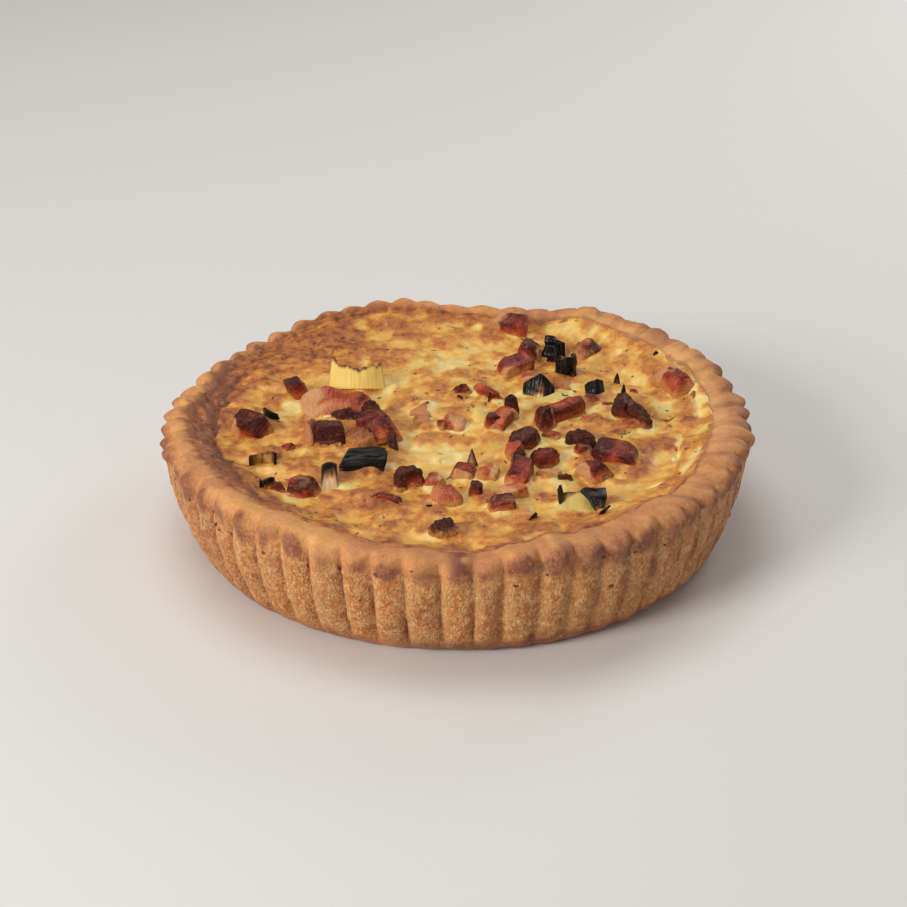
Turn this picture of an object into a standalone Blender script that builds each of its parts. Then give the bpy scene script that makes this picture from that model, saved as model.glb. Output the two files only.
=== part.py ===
"""A deep quiche with bacon and leek, out of its tin: a fluted shortcrust case, the set custard
that fills it, and each piece of bacon and leek that stands out of the custard.

Metres, +Z up. The origin is the middle of the flat underside, and -Y is the front.
"""

import itertools
import math
import random

import bmesh
import bpy
from mathutils import Matrix, Vector

MM = 0.001

# The pastry case, in millimetres.
RIM_RADIUS = 105.0  # over the flutes, at the widest part of the lip
BASE_RADIUS = 93.5
WALL_HEIGHT = 38.0  # from the underside to the widest part of the lip
WALL_BELLY = 2.2  # how far the wall bows outwards at mid height
FLUTES = 58
FLUTE_DEPTH = 1.9
COLUMNS_PER_FLUTE = 4
FLOOR_THICKNESS = 4.0
WALL_THICKNESS = 6.5
FOOT_ROUND = 1.6
SHOULDER_DROP = 3.5  # the wall turns out into the lip this far below the lip's widest part
SHOULDER_INSET = 0.6
LIP_FOLLOWS = 0.35  # the lip's widest part rises by this share of what its crest does
CREST_PLACE = 0.45  # where the crest lies across the lip, from the inner edge out
INNER_ROLL = (1.0, 2.2)  # in from the inner edge, and down from the crest, where the lip turns down
BURIED = 3.0  # the lip's inner side goes on this far below the custard's level

# The lip sagged and rose in the oven. Both lists go round anticlockwise from +X.
CREST_LIFT = (3, 5, 5.5, 5, 5, 0, 0, 3.5, 4, 0.5, 1.5, 1.5, 3, 4, 5, 5, 5, 3.2, 1.5, 5, 4.8, 5.5, 4, 5.5)
INNER_RADIUS = (91, 92, 94, 96, 96, 96, 95, 94, 93, 93, 92, 89)

# The custard, in millimetres.
CUSTARD_LEVEL = 36.0
EDGE_RISE = 1.6  # the custard climbs this much where it meets the case
EDGE_RISE_FROM = 78.0
CUSTARD_COLUMNS = 68
CUSTARD_RINGS = 7
SWELLS = (  # slow swells and dips of the top: x, y, radius, height
    (-68, 62, 26, 2.4),
    (-20, 88, 24, 1.8),
    (-40, 40, 15, 1.6),
    (60, 10, 34, 0.9),
    (22, -6, 26, 0.8),
    (-84, 0, 14, -1.8),
    (-8, -74, 20, -0.9),
    (-36, -4, 18, 1.4),
    (70, -30, 18, 0.7),
)

GAP = 0.35  # left between touching pieces
SINK = 3.2  # how far a topping reaches down into the custard

# Bacon: x, y, length, width, height above the custard, turn and tilt in degrees.
BACON = (
    (-57.5, 25.5, 9, 6.5, 7.0, -62, 20),
    (-73, -5, 13, 8, 4.6, -10, 12),
    (-45, 15, 17, 11.5, 3.2, 20, 6),
    (-30.5, -5, 26, 10, 5.4, -66, -6),
    (-47.7, -14, 11, 8, 6.2, 4, -8),
    (-53, -49.5, 11, 8, 5.0, -15, 10),
    (-12.7, 2.4, 6.5, 6, 1.2, 8, 6),
    (-1.8, 1.5, 10, 8, 2.6, -14, 8),
    (1.6, 26.8, 6, 4.6, 3.8, 30, 14),
    (11.2, 24.6, 12, 4.8, 3.0, -56, 8),
    (28.2, 58, 8, 7, 5.8, -15, -6),
    (21.5, 45, 12.5, 7.5, 4.6, 42, 8),
    (26.7, 36.8, 7.5, 5, 1.8, 8, 8),
    (39.2, 31, 8, 6.5, 1.4, 12, 5),
    (49.3, 62, 9.5, 7, 2.8, 38, 12),
    (80, 27.5, 14, 8.5, 4.6, -66, 0),
    (37.1, 4.5, 19, 7.5, 5.0, 42, -6),
    (16, 1, 14, 7.5, 4.4, 68, 10),
    (61, 9, 9, 8, 6.2, 72, -8),
    (24.3, -16, 12, 8, 5.4, 10, 6),
    (30.8, -26.6, 8.5, 7.5, 4.6, 40, -8),
    (21, -37.6, 13, 7, 5.0, 78, 8),
    (32, -38, 8.5, 6.5, 1.6, 8, 5),
    (43.6, -14, 9, 5.5, 5.0, -20, 4),
    (56, -23.2, 16.5, 9.5, 4.0, -24, 6),
    (46.8, -35, 9, 7, 3.8, -40, 10),
    (55.8, -6.5, 7.5, 4, 1.0, 12, 0),
    (2.2, -35.5, 6.5, 6.5, 3.6, 80, 6),
    (10, -36, 7, 5, 2.6, 80, 6),
    (-3.6, -53, 10.5, 9.5, 4.6, 8, -4),
    (6.2, -49.4, 5, 4.6, 3.6, 84, 4),
    (-17.3, -43.5, 8.5, 8, 6.0, 24, -10),
    (-8, -42.4, 5, 5, 1.8, 10, 6),
    (-23.5, -56, 12, 4, 1.8, -20, 6),
    (18.8, -51.3, 9.5, 5.5, 2.2, 22, 6),
    (15, -59.6, 7.5, 5.5, 2.4, 14, 8),
    (-4.2, -75.5, 10, 6.5, 3.4, 10, -8),
    (21.5, 80, 12.5, 8, 4.4, -24, 10),
    (48.7, 1.2, 7, 4, 1.2, 24, 5),
)

SWELL = {3: 0.88, 1: 1.08}  # how far the corners and the middles of the sides reach
UNEVEN = 0.06

# Leek: x, y, width over the curl, wall, height, opening angle of the curl, turn and lean in degrees.
LEEK = (
    (-31.5, -29, 14, 2.6, 5.0, 70, 4, -24),
    (-43.6, -47, 5.6, 1.3, 5.8, 60, 2, -20),
    (-67.2, -33, 9, 1.5, 4.6, 150, 188, 6),
    (-64.7, -46.5, 5, 1.4, 3.2, 110, 30, 8),
    (-66.5, 6, 5, 1.2, 3.6, 60, -30, 10),
    (37.2, 58, 7.4, 1.8, 6.4, 80, -10, -8),
    (40.5, 44, 8.4, 1.6, 5.8, 150, 30, 4),
    (30.2, 25.5, 8.6, 1.8, 3.4, 120, 186, 8),
    (50.8, 26.5, 6, 1.6, 4.0, 120, 20, 6),
    (47.3, -60.5, 8, 1.2, 4.4, 100, 38, -6),
    (35.1, -56, 5, 1.2, 3.6, 70, 84, 6),
    (-37, 31.5, 21, 3.4, 6.0, 40, 0, -14),
)
LEEK_SEGMENTS = 4
END_DROP = 0.16  # the ends of a curl are this much lower, as a share of its height
TOP_WEAR = 0.1  # how far its top edge dips here and there

SHARP_FROM = 40.0  # an edge that turns more than this, in degrees, looks sharp

COLOURS = {
    "pastry": ((0.62, 0.33, 0.13), 0.75),
    "custard": ((0.80, 0.50, 0.13), 0.5),
    "bacon": ((0.36, 0.08, 0.04), 0.38),
    "leek": ((0.05, 0.045, 0.03), 0.55),
}


def clear_scene():
    for obj in list(bpy.data.objects):
        bpy.data.objects.remove(obj)


def material(name):
    colour, roughness = COLOURS[name]
    made = bpy.data.materials.new(name)
    made.use_nodes = True
    shader = made.node_tree.nodes["Principled BSDF"]
    shader.inputs["Base Color"].default_value = (*colour, 1.0)
    shader.inputs["Roughness"].default_value = roughness
    shader.inputs["Metallic"].default_value = 0.0
    return made


def new_object(name, bm, finish, turn=(0, 0, 0), location=(0, 0, 0)):
    """Turns bm, in millimetres, into an object in metres, and puts it in its place."""
    bmesh.ops.transform(bm, matrix=Matrix.Scale(MM, 4), verts=bm.verts)
    bmesh.ops.recalc_face_normals(bm, faces=bm.faces)
    mesh = bpy.data.meshes.new(name)
    bm.to_mesh(mesh)
    bm.free()
    mesh.shade_smooth()
    mesh.set_sharp_from_angle(angle=math.radians(SHARP_FROM))
    mesh.materials.append(finish)
    obj = bpy.data.objects.new(name, mesh)
    obj.rotation_euler = [math.radians(degrees) for degrees in turn]
    obj.location = Vector(location) * MM
    bpy.context.scene.collection.objects.link(obj)
    return obj


def smoothstep(low, high, value):
    t = min(1.0, max(0.0, (value - low) / (high - low)))
    return t * t * (3 - 2 * t)


def round_the_clock(values, angle):
    """Reads a closed list of values, evenly spaced round the circle, as one smooth curve."""
    count = len(values)
    place = angle / math.tau * count
    first = math.floor(place)
    t = place - first
    before, here, after, beyond = (values[(first + k) % count] for k in (-1, 0, 1, 2))
    slope_here = (after - before) / 2
    slope_after = (beyond - here) / 2
    rise = after - here
    return (
        here
        + slope_here * t
        + (3 * rise - 2 * slope_here - slope_after) * t**2
        + (slope_here + slope_after - 2 * rise) * t**3
    )


def crest_height(angle):
    return WALL_HEIGHT + round_the_clock(CREST_LIFT, angle)


def inner_radius(angle):
    return round_the_clock(INNER_RADIUS, angle)


def flute(angle):
    """0 in the sharp groove between two flutes and 1 along the middle of each rounded one."""
    return math.sqrt(abs(math.sin(angle * FLUTES / 2)))


def custard_height(x, y):
    """The broad shape of the custard's top, in millimetres above the underside."""
    radius = math.hypot(x, y)
    height = CUSTARD_LEVEL + EDGE_RISE * smoothstep(EDGE_RISE_FROM, min(INNER_RADIUS), radius)
    for centre_x, centre_y, reach, lift in SWELLS:
        distance = math.hypot(x - centre_x, y - centre_y) / reach
        height += lift * math.exp(-2 * distance * distance)
    return height


def wall_radius(height):
    """The tapered, slightly bowed wall, over the flutes."""
    t = height / WALL_HEIGHT
    return BASE_RADIUS + (RIM_RADIUS - BASE_RADIUS) * t + WALL_BELLY * 4 * t * (1 - t)


def case_section(angle):
    """The case's cross-section at an angle, from the underside out, up, over the lip and down inside.
    Each point is its radius, its height and the flutes' depth there, as a share of the full depth."""
    crest = crest_height(angle)
    inner = inner_radius(angle)
    shoulder = WALL_HEIGHT - SHOULDER_DROP
    lip = WALL_HEIGHT + LIP_FOLLOWS * (crest - WALL_HEIGHT)
    crest_radius = inner + CREST_PLACE * (RIM_RADIUS - inner)
    roll_in, roll_down = INNER_ROLL
    return (
        (wall_radius(0) - FOOT_ROUND, 0.0, 0.5),
        (wall_radius(FOOT_ROUND), FOOT_ROUND, 0.9),
        (wall_radius(WALL_HEIGHT / 2), WALL_HEIGHT / 2, 1.0),
        (wall_radius(shoulder) - SHOULDER_INSET, shoulder, 1.0),
        (RIM_RADIUS, lip, 1.0),
        ((RIM_RADIUS + crest_radius) / 2, crest - 0.5, 0.45),
        (crest_radius, crest, 0.1),
        (inner + roll_in, crest - roll_down, 0.0),
        (inner, CUSTARD_LEVEL - BURIED, 0.0),
        (BASE_RADIUS - WALL_THICKNESS, FLOOR_THICKNESS, 0.0),
    )


def add_ring(bm, points):
    """Adds one closed ring of vertices from angle, radius and height."""
    return [bm.verts.new((r * math.cos(a), r * math.sin(a), z)) for a, r, z in points]


def skin(bm, rings, first_cap, last_cap):
    """Joins closed rings of vertices with faces and closes both ends onto a centre vertex."""
    count = len(rings[0])
    for low, high in itertools.pairwise(rings):
        for k in range(count):
            n = (k + 1) % count
            bm.faces.new((low[k], low[n], high[n], high[k]))
    for ring, centre in ((rings[0], first_cap), (rings[-1], last_cap)):
        middle = bm.verts.new(centre)
        for k in range(count):
            bm.faces.new((ring[k], ring[(k + 1) % count], middle))


def make_case(finish):
    """The fluted case: one section for each column, joined ring by ring."""
    columns = FLUTES * COLUMNS_PER_FLUTE
    sections = []
    for k in range(columns):
        angle = math.tau * k / columns
        groove = FLUTE_DEPTH * (1 - flute(angle))
        sections.append([(angle, r - groove * share, z) for r, z, share in case_section(angle)])
    bm = bmesh.new()
    rings = [add_ring(bm, points) for points in zip(*sections)]
    skin(bm, rings, (0, 0, 0), (0, 0, FLOOR_THICKNESS))
    return new_object("pastry_case", bm, finish)


def make_custard(finish):
    """The filling, from the case's floor up to its uneven top, clear of the case all round."""
    angles = [math.tau * k / CUSTARD_COLUMNS for k in range(CUSTARD_COLUMNS)]
    sides = [(a, inner_radius(a) - 2 * GAP) for a in angles]
    floor = FLOOR_THICKNESS + GAP
    floor_radius = BASE_RADIUS - WALL_THICKNESS - 2 * GAP
    bm = bmesh.new()
    rings = [
        add_ring(bm, [(a, floor_radius, floor) for a in angles]),
        add_ring(bm, [(a, r, CUSTARD_LEVEL - BURIED) for a, r in sides]),
    ]
    for k in range(CUSTARD_RINGS, 0, -1):
        share = k / CUSTARD_RINGS
        points = []
        for a, side in sides:
            r = side * share
            points.append((a, r, custard_height(r * math.cos(a), r * math.sin(a))))
        rings.append(add_ring(bm, points))
    skin(bm, rings, (0, 0, floor), (0, 0, custard_height(0, 0)))
    return new_object("custard", bm, finish)


def bacon_block(row, dice, grow):
    """A cut block of bacon: a box with swollen sides and uneven corners, all convex."""
    length, width, height = row[2:5]
    bm = bmesh.new()
    for grid in itertools.product((-0.5, 0, 0.5), repeat=3):
        sides = sum(c != 0 for c in grid)  # 3 at a corner and 1 in the middle of a side
        if sides in SWELL:
            wander = Vector([dice.uniform(-UNEVEN, UNEVEN) for _ in grid])
            bm.verts.new(Vector(grid) * SWELL[sides] + wander)
    hull = bmesh.ops.convex_hull(bm, input=bm.verts)
    inside = set(hull["geom_interior"]) | set(hull["geom_unused"])
    bmesh.ops.delete(bm, geom=list(inside), context="VERTS")
    size = Vector((length, width, height + SINK)) + Vector((grow, grow, grow)) * 2
    bmesh.ops.scale(bm, vec=size, verts=bm.verts)
    bmesh.ops.translate(bm, vec=(0, 0, (height - SINK) / 2), verts=bm.verts)
    return bm


def leek_curl(row, dice, grow):
    """A slice of leek leaf standing on edge: a thin wall that follows part of a circle."""
    width, wall, height, opening = row[2:6]
    half = math.radians(opening) / 2
    radius = width / 2 / math.sin(min(half, math.pi / 2))
    chord = radius * math.cos(half)
    inner = radius - wall / 2 - grow
    outer = radius + wall / 2 + grow
    bm = bmesh.new()
    sections = []
    for k in range(LEEK_SEGMENTS + 1):
        t = 2 * k / LEEK_SEGMENTS - 1
        angle = (half + grow / radius) * t - math.pi / 2
        worn = height * (END_DROP * abs(t) + dice.uniform(0, TOP_WEAR))
        top = height + grow - worn
        section = []
        for r, z in ((inner, -SINK - grow), (outer, -SINK - grow), (outer, top), (inner, top)):
            section.append(bm.verts.new((r * math.cos(angle), r * math.sin(angle) + chord, z)))
        sections.append(section)
    for first, second in itertools.pairwise(sections):
        for k in range(4):
            n = (k + 1) % 4
            bm.faces.new((first[k], first[n], second[n], second[k]))
    bm.faces.new(sections[0])
    bm.faces.new(sections[-1][::-1])
    return bm


def make_toppings(kind, rows, shape, finish, cutters):
    """One object for each piece, and a slightly larger cutter for its pocket in the custard."""
    for number, row in enumerate(rows, 1):
        name = f"{kind}_{number:02d}"
        x, y = row[:2]
        turn, lean = row[-2:]
        place = ((lean, 0, turn), (x, y, custard_height(x, y)))
        new_object(name, shape(row, random.Random(name), 0), finish, *place)
        cutter = new_object(f"pocket_{name}", shape(row, random.Random(name), GAP), finish, *place)
        cutter.hide_render = True
        cutter.display_type = "WIRE"
        bpy.context.scene.collection.objects.unlink(cutter)
        cutters.objects.link(cutter)


def cut_pockets(custard, cutters):
    cut = custard.modifiers.new("pockets", "BOOLEAN")
    cut.operation = "DIFFERENCE"
    cut.solver = "EXACT"
    cut.operand_type = "COLLECTION"
    cut.collection = cutters


def main():
    clear_scene()
    cutters = bpy.data.collections.new("pockets")
    bpy.context.scene.collection.children.link(cutters)
    finishes = {name: material(name) for name in COLOURS}
    make_case(finishes["pastry"])
    custard = make_custard(finishes["custard"])
    make_toppings("bacon", BACON, bacon_block, finishes["bacon"], cutters)
    make_toppings("leek", LEEK, leek_curl, finishes["leek"], cutters)
    cut_pockets(custard, cutters)


main()
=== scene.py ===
"""Quiche with bacon and leek: the finished surfaces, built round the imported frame.

The case, the custard, every piece of bacon and leek, the herbs and crumbs and the stage each have
an operator. Lengths in the tables below are millimetres in the frame, +Z up and -Y to the front.
"""

import math
import random
from dataclasses import dataclass

import bpy
import numpy as np
from bpy.props import FloatProperty, FloatVectorProperty, IntProperty, PointerProperty
from mathutils import Matrix, Vector


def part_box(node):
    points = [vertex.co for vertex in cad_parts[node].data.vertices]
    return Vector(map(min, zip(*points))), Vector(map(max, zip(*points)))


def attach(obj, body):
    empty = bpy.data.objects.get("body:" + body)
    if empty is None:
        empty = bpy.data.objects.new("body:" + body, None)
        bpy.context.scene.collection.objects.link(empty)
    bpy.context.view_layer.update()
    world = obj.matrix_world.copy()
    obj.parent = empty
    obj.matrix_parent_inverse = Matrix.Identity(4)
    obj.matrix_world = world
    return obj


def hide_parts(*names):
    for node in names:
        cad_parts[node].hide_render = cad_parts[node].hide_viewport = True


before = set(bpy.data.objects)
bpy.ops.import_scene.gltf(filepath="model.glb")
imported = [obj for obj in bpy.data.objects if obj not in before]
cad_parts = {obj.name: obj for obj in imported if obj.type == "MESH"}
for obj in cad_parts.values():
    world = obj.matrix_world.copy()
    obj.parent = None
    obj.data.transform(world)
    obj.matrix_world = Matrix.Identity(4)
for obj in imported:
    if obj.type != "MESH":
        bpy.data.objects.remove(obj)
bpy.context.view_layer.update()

bl_info = {
    "name": "Bacon and Leek Quiche",
    "version": (1, 0, 0),
    "blender": (4, 5, 0),
    "location": "View3D > Sidebar > Quiche",
    "description": "Models a deep fluted quiche with bacon and leek",
    "category": "Object",
}

MM = 0.001
METRE = 1000.0

CASE_LOW, CASE_HIGH = (np.array(corner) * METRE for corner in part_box("pastry_case"))
RIM_RADIUS = float(CASE_HIGH[1])
BASE_RADIUS = 93.5
WALL_HEIGHT = 38.0
WALL_BELLY = 2.2
FLOOR_THICKNESS = 4.0
CUSTARD_LEVEL = 36.0
SINK = 3.2

# How far the lip's crest stands above the wall's top, going round anticlockwise from +X.
CREST_LIFT = (
    3, 3.4, 5, 5.6, 5.5, 5.2, 5.2, 5.4, 5, 1.5, 0, -0.3, 0, 2.6, 3.5, 3.6, 4, 1.6, 0.5, 0.6,
    1.2, 0.8, 0.3, 2.2, 3, 3.4, 4, 5.2, 5.2, 6, 5, 5.6, 5, 3.8, 3.2, 3.2,
    1.6, 2.6, 5, 5, 4.8, 5, 5.6, 3.4, 4.4, 6.2, 6.4, 4.8,
)  # fmt: skip
CREST_RADIUS = 100.6
# The custard's radius, the fall of the lip from its crest to the custard, how far the rolled lip
# overhangs the wall, and how deep the folds across it are, each going round from +X.
INNER_RADIUS = (92, 92.5, 95, 98, 98.5, 98, 95.5, 94, 93, 93, 92, 91)
INNER_DROP = (2.0, 2.0, 2.2, 2.2, 2.0, 1.6, 1.2, 1.2, 1.4, 1.5, 1.8, 2.0)
OVERHANG = (0.8, 0.6, 0.5, 0.5, 0.5, 0.5, 0.4, 0.3, 0.3, 0.5, 1.3, 1.3)
FOLDS = (1.1, 0.9, 0.6, 0.9, 2.0, 2.4, 1.8, 1.3, 1.1, 1.0, 1.1, 1.0)

SWELLS = (  # slow swells and dips of the custard's top: x, y, radius, height
    (-68, 62, 26, 1.6),
    (-20, 88, 24, 0.8),
    (-40, 40, 15, 0.8),
    (60, 10, 34, 0.6),
    (22, -6, 26, 0.6),
    (-84, 0, 12, -1.2),
    (-8, -74, 20, -0.7),
    (-36, -4, 18, 0.8),
    (70, -30, 18, 0.6),
    (-78, 22, 7, 1.6),
    (-74, 40, 6, 1.2),
    (56, -4, 5, 0.9),
    (-45, -56, 7, 0.8),
    (-37, 25, 11, 1.6),
)
BROWNED = (  # where the top has caught (positive) and where it stays pale: x, y, radius, amount
    (-85, 38, 8, 0.8), (-80, 30, 7, 0.6), (-78, 20, 6, 0.35), (-92, -4, 7, 0.5),
    (-88, -17, 7, 0.5), (-83, -28, 7, 0.5), (-74, -40, 7, 0.45), (-60, -58, 6, 0.45),
    (-70, 62, 15, 0.34), (-50, 66, 12, 0.42), (-44, 80, 13, 0.32), (-60, 46, 8, 0.36),
    (-20, 84, 12, 0.15), (-74, 40, 5, -0.8), (-61, 17, 7, -0.9), (-52, 10, 4, -0.9),
    (-28, 32, 8, -0.5), (-72, -8, 8, 0.45), (-60, -28, 8, 0.3), (-30, -42, 7, 0.1),
    (-24, -58, 9, 0.32), (-45, -56, 6, 0.4), (-38, -46, 5, -0.7), (-14, -62, 5, -0.5),
    (-57, -55, 4, -0.7), (-15, -10, 9, -0.2), (-25, -24, 5, -0.4), (2, -8, 8, -0.1),
    (-2, -21, 4, -1.2), (13, -18, 6, -0.8), (15, -30, 4, -0.6), (39, -22, 5, -0.8),
    (8, 10, 6, -0.7), (36, 25, 8, -0.7), (25, 14, 5, -0.4), (48, 38, 5, -0.6),
    (20, 32, 5, -0.5), (-5, 52, 12, -0.3), (12, 62, 9, -0.1), (56, 58, 13, 0.4),
    (76, 60, 8, 0.2), (74, 16, 9, -0.5), (84, 7, 6, 0.5), (60, -12, 6, 0.2),
    (73, -16, 7, 0.4), (65, -34, 7, 0.45), (57, -36, 4, -0.6), (56, -5, 4, 0.5),
    (36, -44, 7, -0.2), (60, -56, 9, 0.1), (30, -70, 8, 0.05), (-2, -86, 7, 0.5),
    (-14, 46, 7, -0.3), (-36, 24, 5, -0.4), (88, 14, 4, -0.6), (46, -68, 7, 0.2),
    (-9, -47, 5, -1.2), (62, 58, 4, -0.5), (8, -66, 5, -0.3), (66, 8, 7, -0.2),
    (-64, 10, 5, -0.5), (-66, -48, 4, -0.4), (-12, 20, 4, 0.35), (-17, 22, 3, 0.4),
)  # fmt: skip
CRUMBLED = (  # where the skin has broken into crumbs: x, y, radius, amount
    (-84, 37, 9, 1.0), (-87, 16, 8, 0.8), (-88, -2, 7, 0.8), (-86, -18, 7, 0.8), (-78, -36, 6, 0.5),
)  # fmt: skip
SPILT = ((0, -88, 8, 0.9), (9, -88, 5, 0.6))
GREENED = (  # where the leek under the surface tints the custard: x, y, radius, amount
    (7, 10, 5, 0.8), (35, 26, 8, 0.9), (18, 34, 6, 0.4), (14, -18, 6, 0.5), (47, 40, 5, 0.7),
    (44, 3, 4, 0.7), (-10, 50, 9, 0.3), (26, 46, 7, 0.4), (-8, -50, 5, 0.6), (-54, -56, 4, 0.6),
    (44, 18, 5, 0.4), (60, -40, 5, 0.3), (36, 55, 6, 0.5), (38, -40, 5, 0.4), (48, 2, 5, 0.4),
    (-34, 34, 9, 0.4), (26, -60, 4, 0.6), (66, 22, 5, 0.4),
)  # fmt: skip
CRACKS = (  # pale splits in the top: x and y of both ends, then width
    (79, -8, 78, -20, 1.1),
    (78, -20, 75, -32, 0.8),
    (62, -46, 70, -43, 1.0),
    (-5, -24, 1, -21, 1.4),
    (87, 20, 88, 4, 0.8),
)
# The skin inside the rim, going round from +X: how brown it is and how wide.
SKIN_TONE = (0.15, 0.1, 0.1, 0.2, 0.3, 0.7, 1.0, 0.85, 0.6, 0.55, 0.45, 0.3)
SKIN_WIDTH = (3, 3, 4, 4, 5, 8, 10, 7.5, 5, 5, 4, 3)


@dataclass(frozen=True)
class Cut:
    """A piece of bacon. Sizes are in millimetres above the custard, angles in degrees."""

    length: float
    width: float
    height: float
    turn: float = 0.0
    lean: float = 0.0  # about its length
    pitch: float = 0.0  # about its width
    square: float = 6.0  # 2 is an egg, 9 a block
    facets: int = 4
    taper: float = 0.1  # how much narrower the top is
    curl: float = 0.0  # bend in plan over its whole length
    arch: float = 0.0  # hump over its whole length
    rough: float = 0.7
    char: float = 0.2
    char_way: float = 90.0
    tone: float = 0.4  # from dark (0) through red to pink (1)
    fat: float = 0.1  # share that is fat
    fat_way: float = 0.0
    coat: float = 0.3  # how far up the custard clings to it
    shift: float = 0.0  # how much lighter it gets towards its far end
    dx: float = 0.0  # how far it has slid from its seat


BACON = {  # keyed by the piece's number
    1: Cut(9.5, 6.5, 7.6, -62, 22, tone=0.12, fat=0.04, fat_way=90, char=0.08, square=8, rough=0.5, shift=0.15),
    2: Cut(12.5, 9, 6.8, -30, 18, tone=0.10, fat=0.08, fat_way=215, char=0.14, char_way=0, taper=0.12, square=8, facets=3, rough=0.5, coat=0.25, shift=-0.12),
    3: Cut(26, 19, 4.2, 8, 10, tone=0.76, fat=0.30, fat_way=170, char=0.02, rough=0.8, square=4, coat=0.35, shift=-0.2, dx=1.5),
    4: Cut(20, 12.5, 6.2, -62, 4, tone=0.32, fat=0.0, char=0.14, char_way=60, rough=1.5, square=3.5, facets=3, curl=-25, coat=0.3, taper=0.2, dx=1),
    5: Cut(11, 8.5, 7.0, 4, -10, tone=-0.22, fat=0.0, char=0.34, char_way=60, square=7, rough=0.5, facets=3, coat=0.1, dx=3),
    6: Cut(12, 8.5, 5.2, -15, 14, tone=0.24, fat=0.0, char=0.12, char_way=60, square=6, facets=4, rough=0.7, coat=0.3, shift=-0.14),
    7: Cut(6.5, 7, 1.2, 8, 4, tone=0.72, fat=0.2, char=0.0, rough=0.5, coat=0.7),
    8: Cut(10, 9, 2.6, -14, 10, tone=0.72, fat=0.5, fat_way=20, char=0.0, rough=0.8, square=4, coat=0.5),
    9: Cut(7, 4.2, 4.0, 20, 12, tone=0.25, char=0.45, taper=0.7, facets=5),
    10: Cut(15, 4.6, 2.8, -58, 8, tone=0.5, fat=0.15, char=0.1, curl=30, fat_way=90),
    11: Cut(9, 8, 6.0, -15, -4, tone=0.16, char=0.34, rough=0.8, taper=0.2, facets=4, square=7),
    12: Cut(14, 8, 5.2, 36, 10, tone=0.50, fat=0.10, fat_way=240, char=0.10, rough=0.6, taper=0.05, square=8, facets=3),
    13: Cut(9, 6, 1.8, 8, 8, tone=0.70, fat=0.3, fat_way=270, char=0.0, rough=0.8, square=4, coat=0.6),
    14: Cut(8.5, 7.5, 1.4, 12, 5, tone=0.62, fat=0.25, char=0.0, rough=0.8, square=4, coat=0.6),
    15: Cut(12, 8.5, 2.4, 38, 18, tone=0.50, fat=0.0, char=0.42, char_way=-20, square=8, rough=0.6, coat=0.9),
    16: Cut(15.5, 10, 4.8, -66, 6, tone=0.50, fat=0.35, fat_way=190, char=0.06, rough=0.7, taper=0.2, square=6),
    17: Cut(21, 7.5, 5.4, 42, -6, tone=0.34, fat=0.08, fat_way=90, char=0.08, char_way=200, square=9, facets=2, rough=0.45, arch=12, shift=0.26, coat=0.15),
    18: Cut(14, 8, 4.6, 66, 12, tone=0.58, fat=0.2, fat_way=320, char=0.10, taper=0.3, rough=0.8, square=5),
    19: Cut(10, 9, 7.0, 72, -8, tone=0.08, char=0.5, rough=0.9, square=2.4, facets=1, coat=0.0),
    20: Cut(12.5, 9, 5.8, 10, 6, tone=0.14, char=0.40, rough=1.1, square=3.2, facets=3, coat=0.1),
    21: Cut(9.5, 8.5, 5.0, 40, -8, tone=0.14, char=0.42, rough=1.1, square=3.4, facets=3, coat=0.1),
    22: Cut(14.5, 8, 5.4, 78, 8, tone=0.42, fat=0.04, char=0.28, char_way=0, rough=0.6, taper=0.2, square=7, coat=0.2),
    23: Cut(9.5, 8, 1.6, 8, 8, tone=0.75, fat=0.5, fat_way=60, char=0.0, rough=0.8, square=4, coat=0.6),
    24: Cut(10.5, 6.0, 5.4, -20, 4, tone=-0.1, char=0.95, rough=1.2, square=3, facets=2, coat=0.0),
    25: Cut(17.5, 10.5, 4.6, -24, 10, tone=0.36, fat=0.03, char=0.24, char_way=130, square=9, facets=3, rough=0.4, coat=0.2, shift=0.2),
    26: Cut(11, 8, 4.4, -40, 12, tone=0.46, fat=0.25, fat_way=230, char=0.46, char_way=60, taper=0.4, rough=0.8, square=7),
    27: Cut(8.5, 5, 1.4, 12, 0, tone=0.6, fat=0.3, char=0.15, fat_way=90, coat=0.9),
    28: Cut(8, 8.5, 3.8, 80, 8, tone=0.46, char=0.24, char_way=90, taper=0.2, rough=0.6, square=6, fat=0.15, fat_way=180, coat=0.2),
    29: Cut(10, 8, 2.8, 80, 6, tone=0.78, fat=0.45, fat_way=270, char=0.0, rough=0.8, square=4, coat=0.6, dx=1),
    30: Cut(12, 10.5, 4.8, 8, -4, tone=0.80, fat=0.08, char=0.0, rough=0.7, square=3.0, facets=3, coat=0.55, shift=-0.2),
    31: Cut(5.2, 5.2, 3.8, 84, 4, tone=0.26, char=0.15, rough=0.7),
    32: Cut(9.5, 8.5, 5.2, 24, -10, tone=0.08, fat=0.0, char=0.62, rough=1.0, square=8, facets=3, coat=0.05),
    33: Cut(8, 7.5, 2.4, 10, 6, tone=0.74, fat=0.35, char=0.0, rough=0.8, square=4, coat=0.5),
    34: Cut(14, 3.6, 2.0, -24, 6, tone=0.34, char=0.1, curl=-40, rough=0.8),
    35: Cut(10.5, 6.5, 2.4, 22, 6, tone=0.75, fat=0.35, fat_way=200, char=0.0, rough=0.5),
    36: Cut(10, 7, 3.2, 14, 10, tone=0.34, fat=0.0, char=0.04, rough=0.5, square=7),
    37: Cut(11, 7.2, 3.8, 10, -8, tone=0.12, char=0.6, char_way=180, rough=1.2, square=3, facets=4),
    38: Cut(14.5, 10, 4.6, -24, 12, tone=0.44, fat=0.32, fat_way=180, char=0.06, rough=0.7, square=7, coat=0.2),
    39: Cut(8, 5, 1.4, 24, 5, tone=0.5, char=0.25, rough=0.6, coat=0.6),
}
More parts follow.
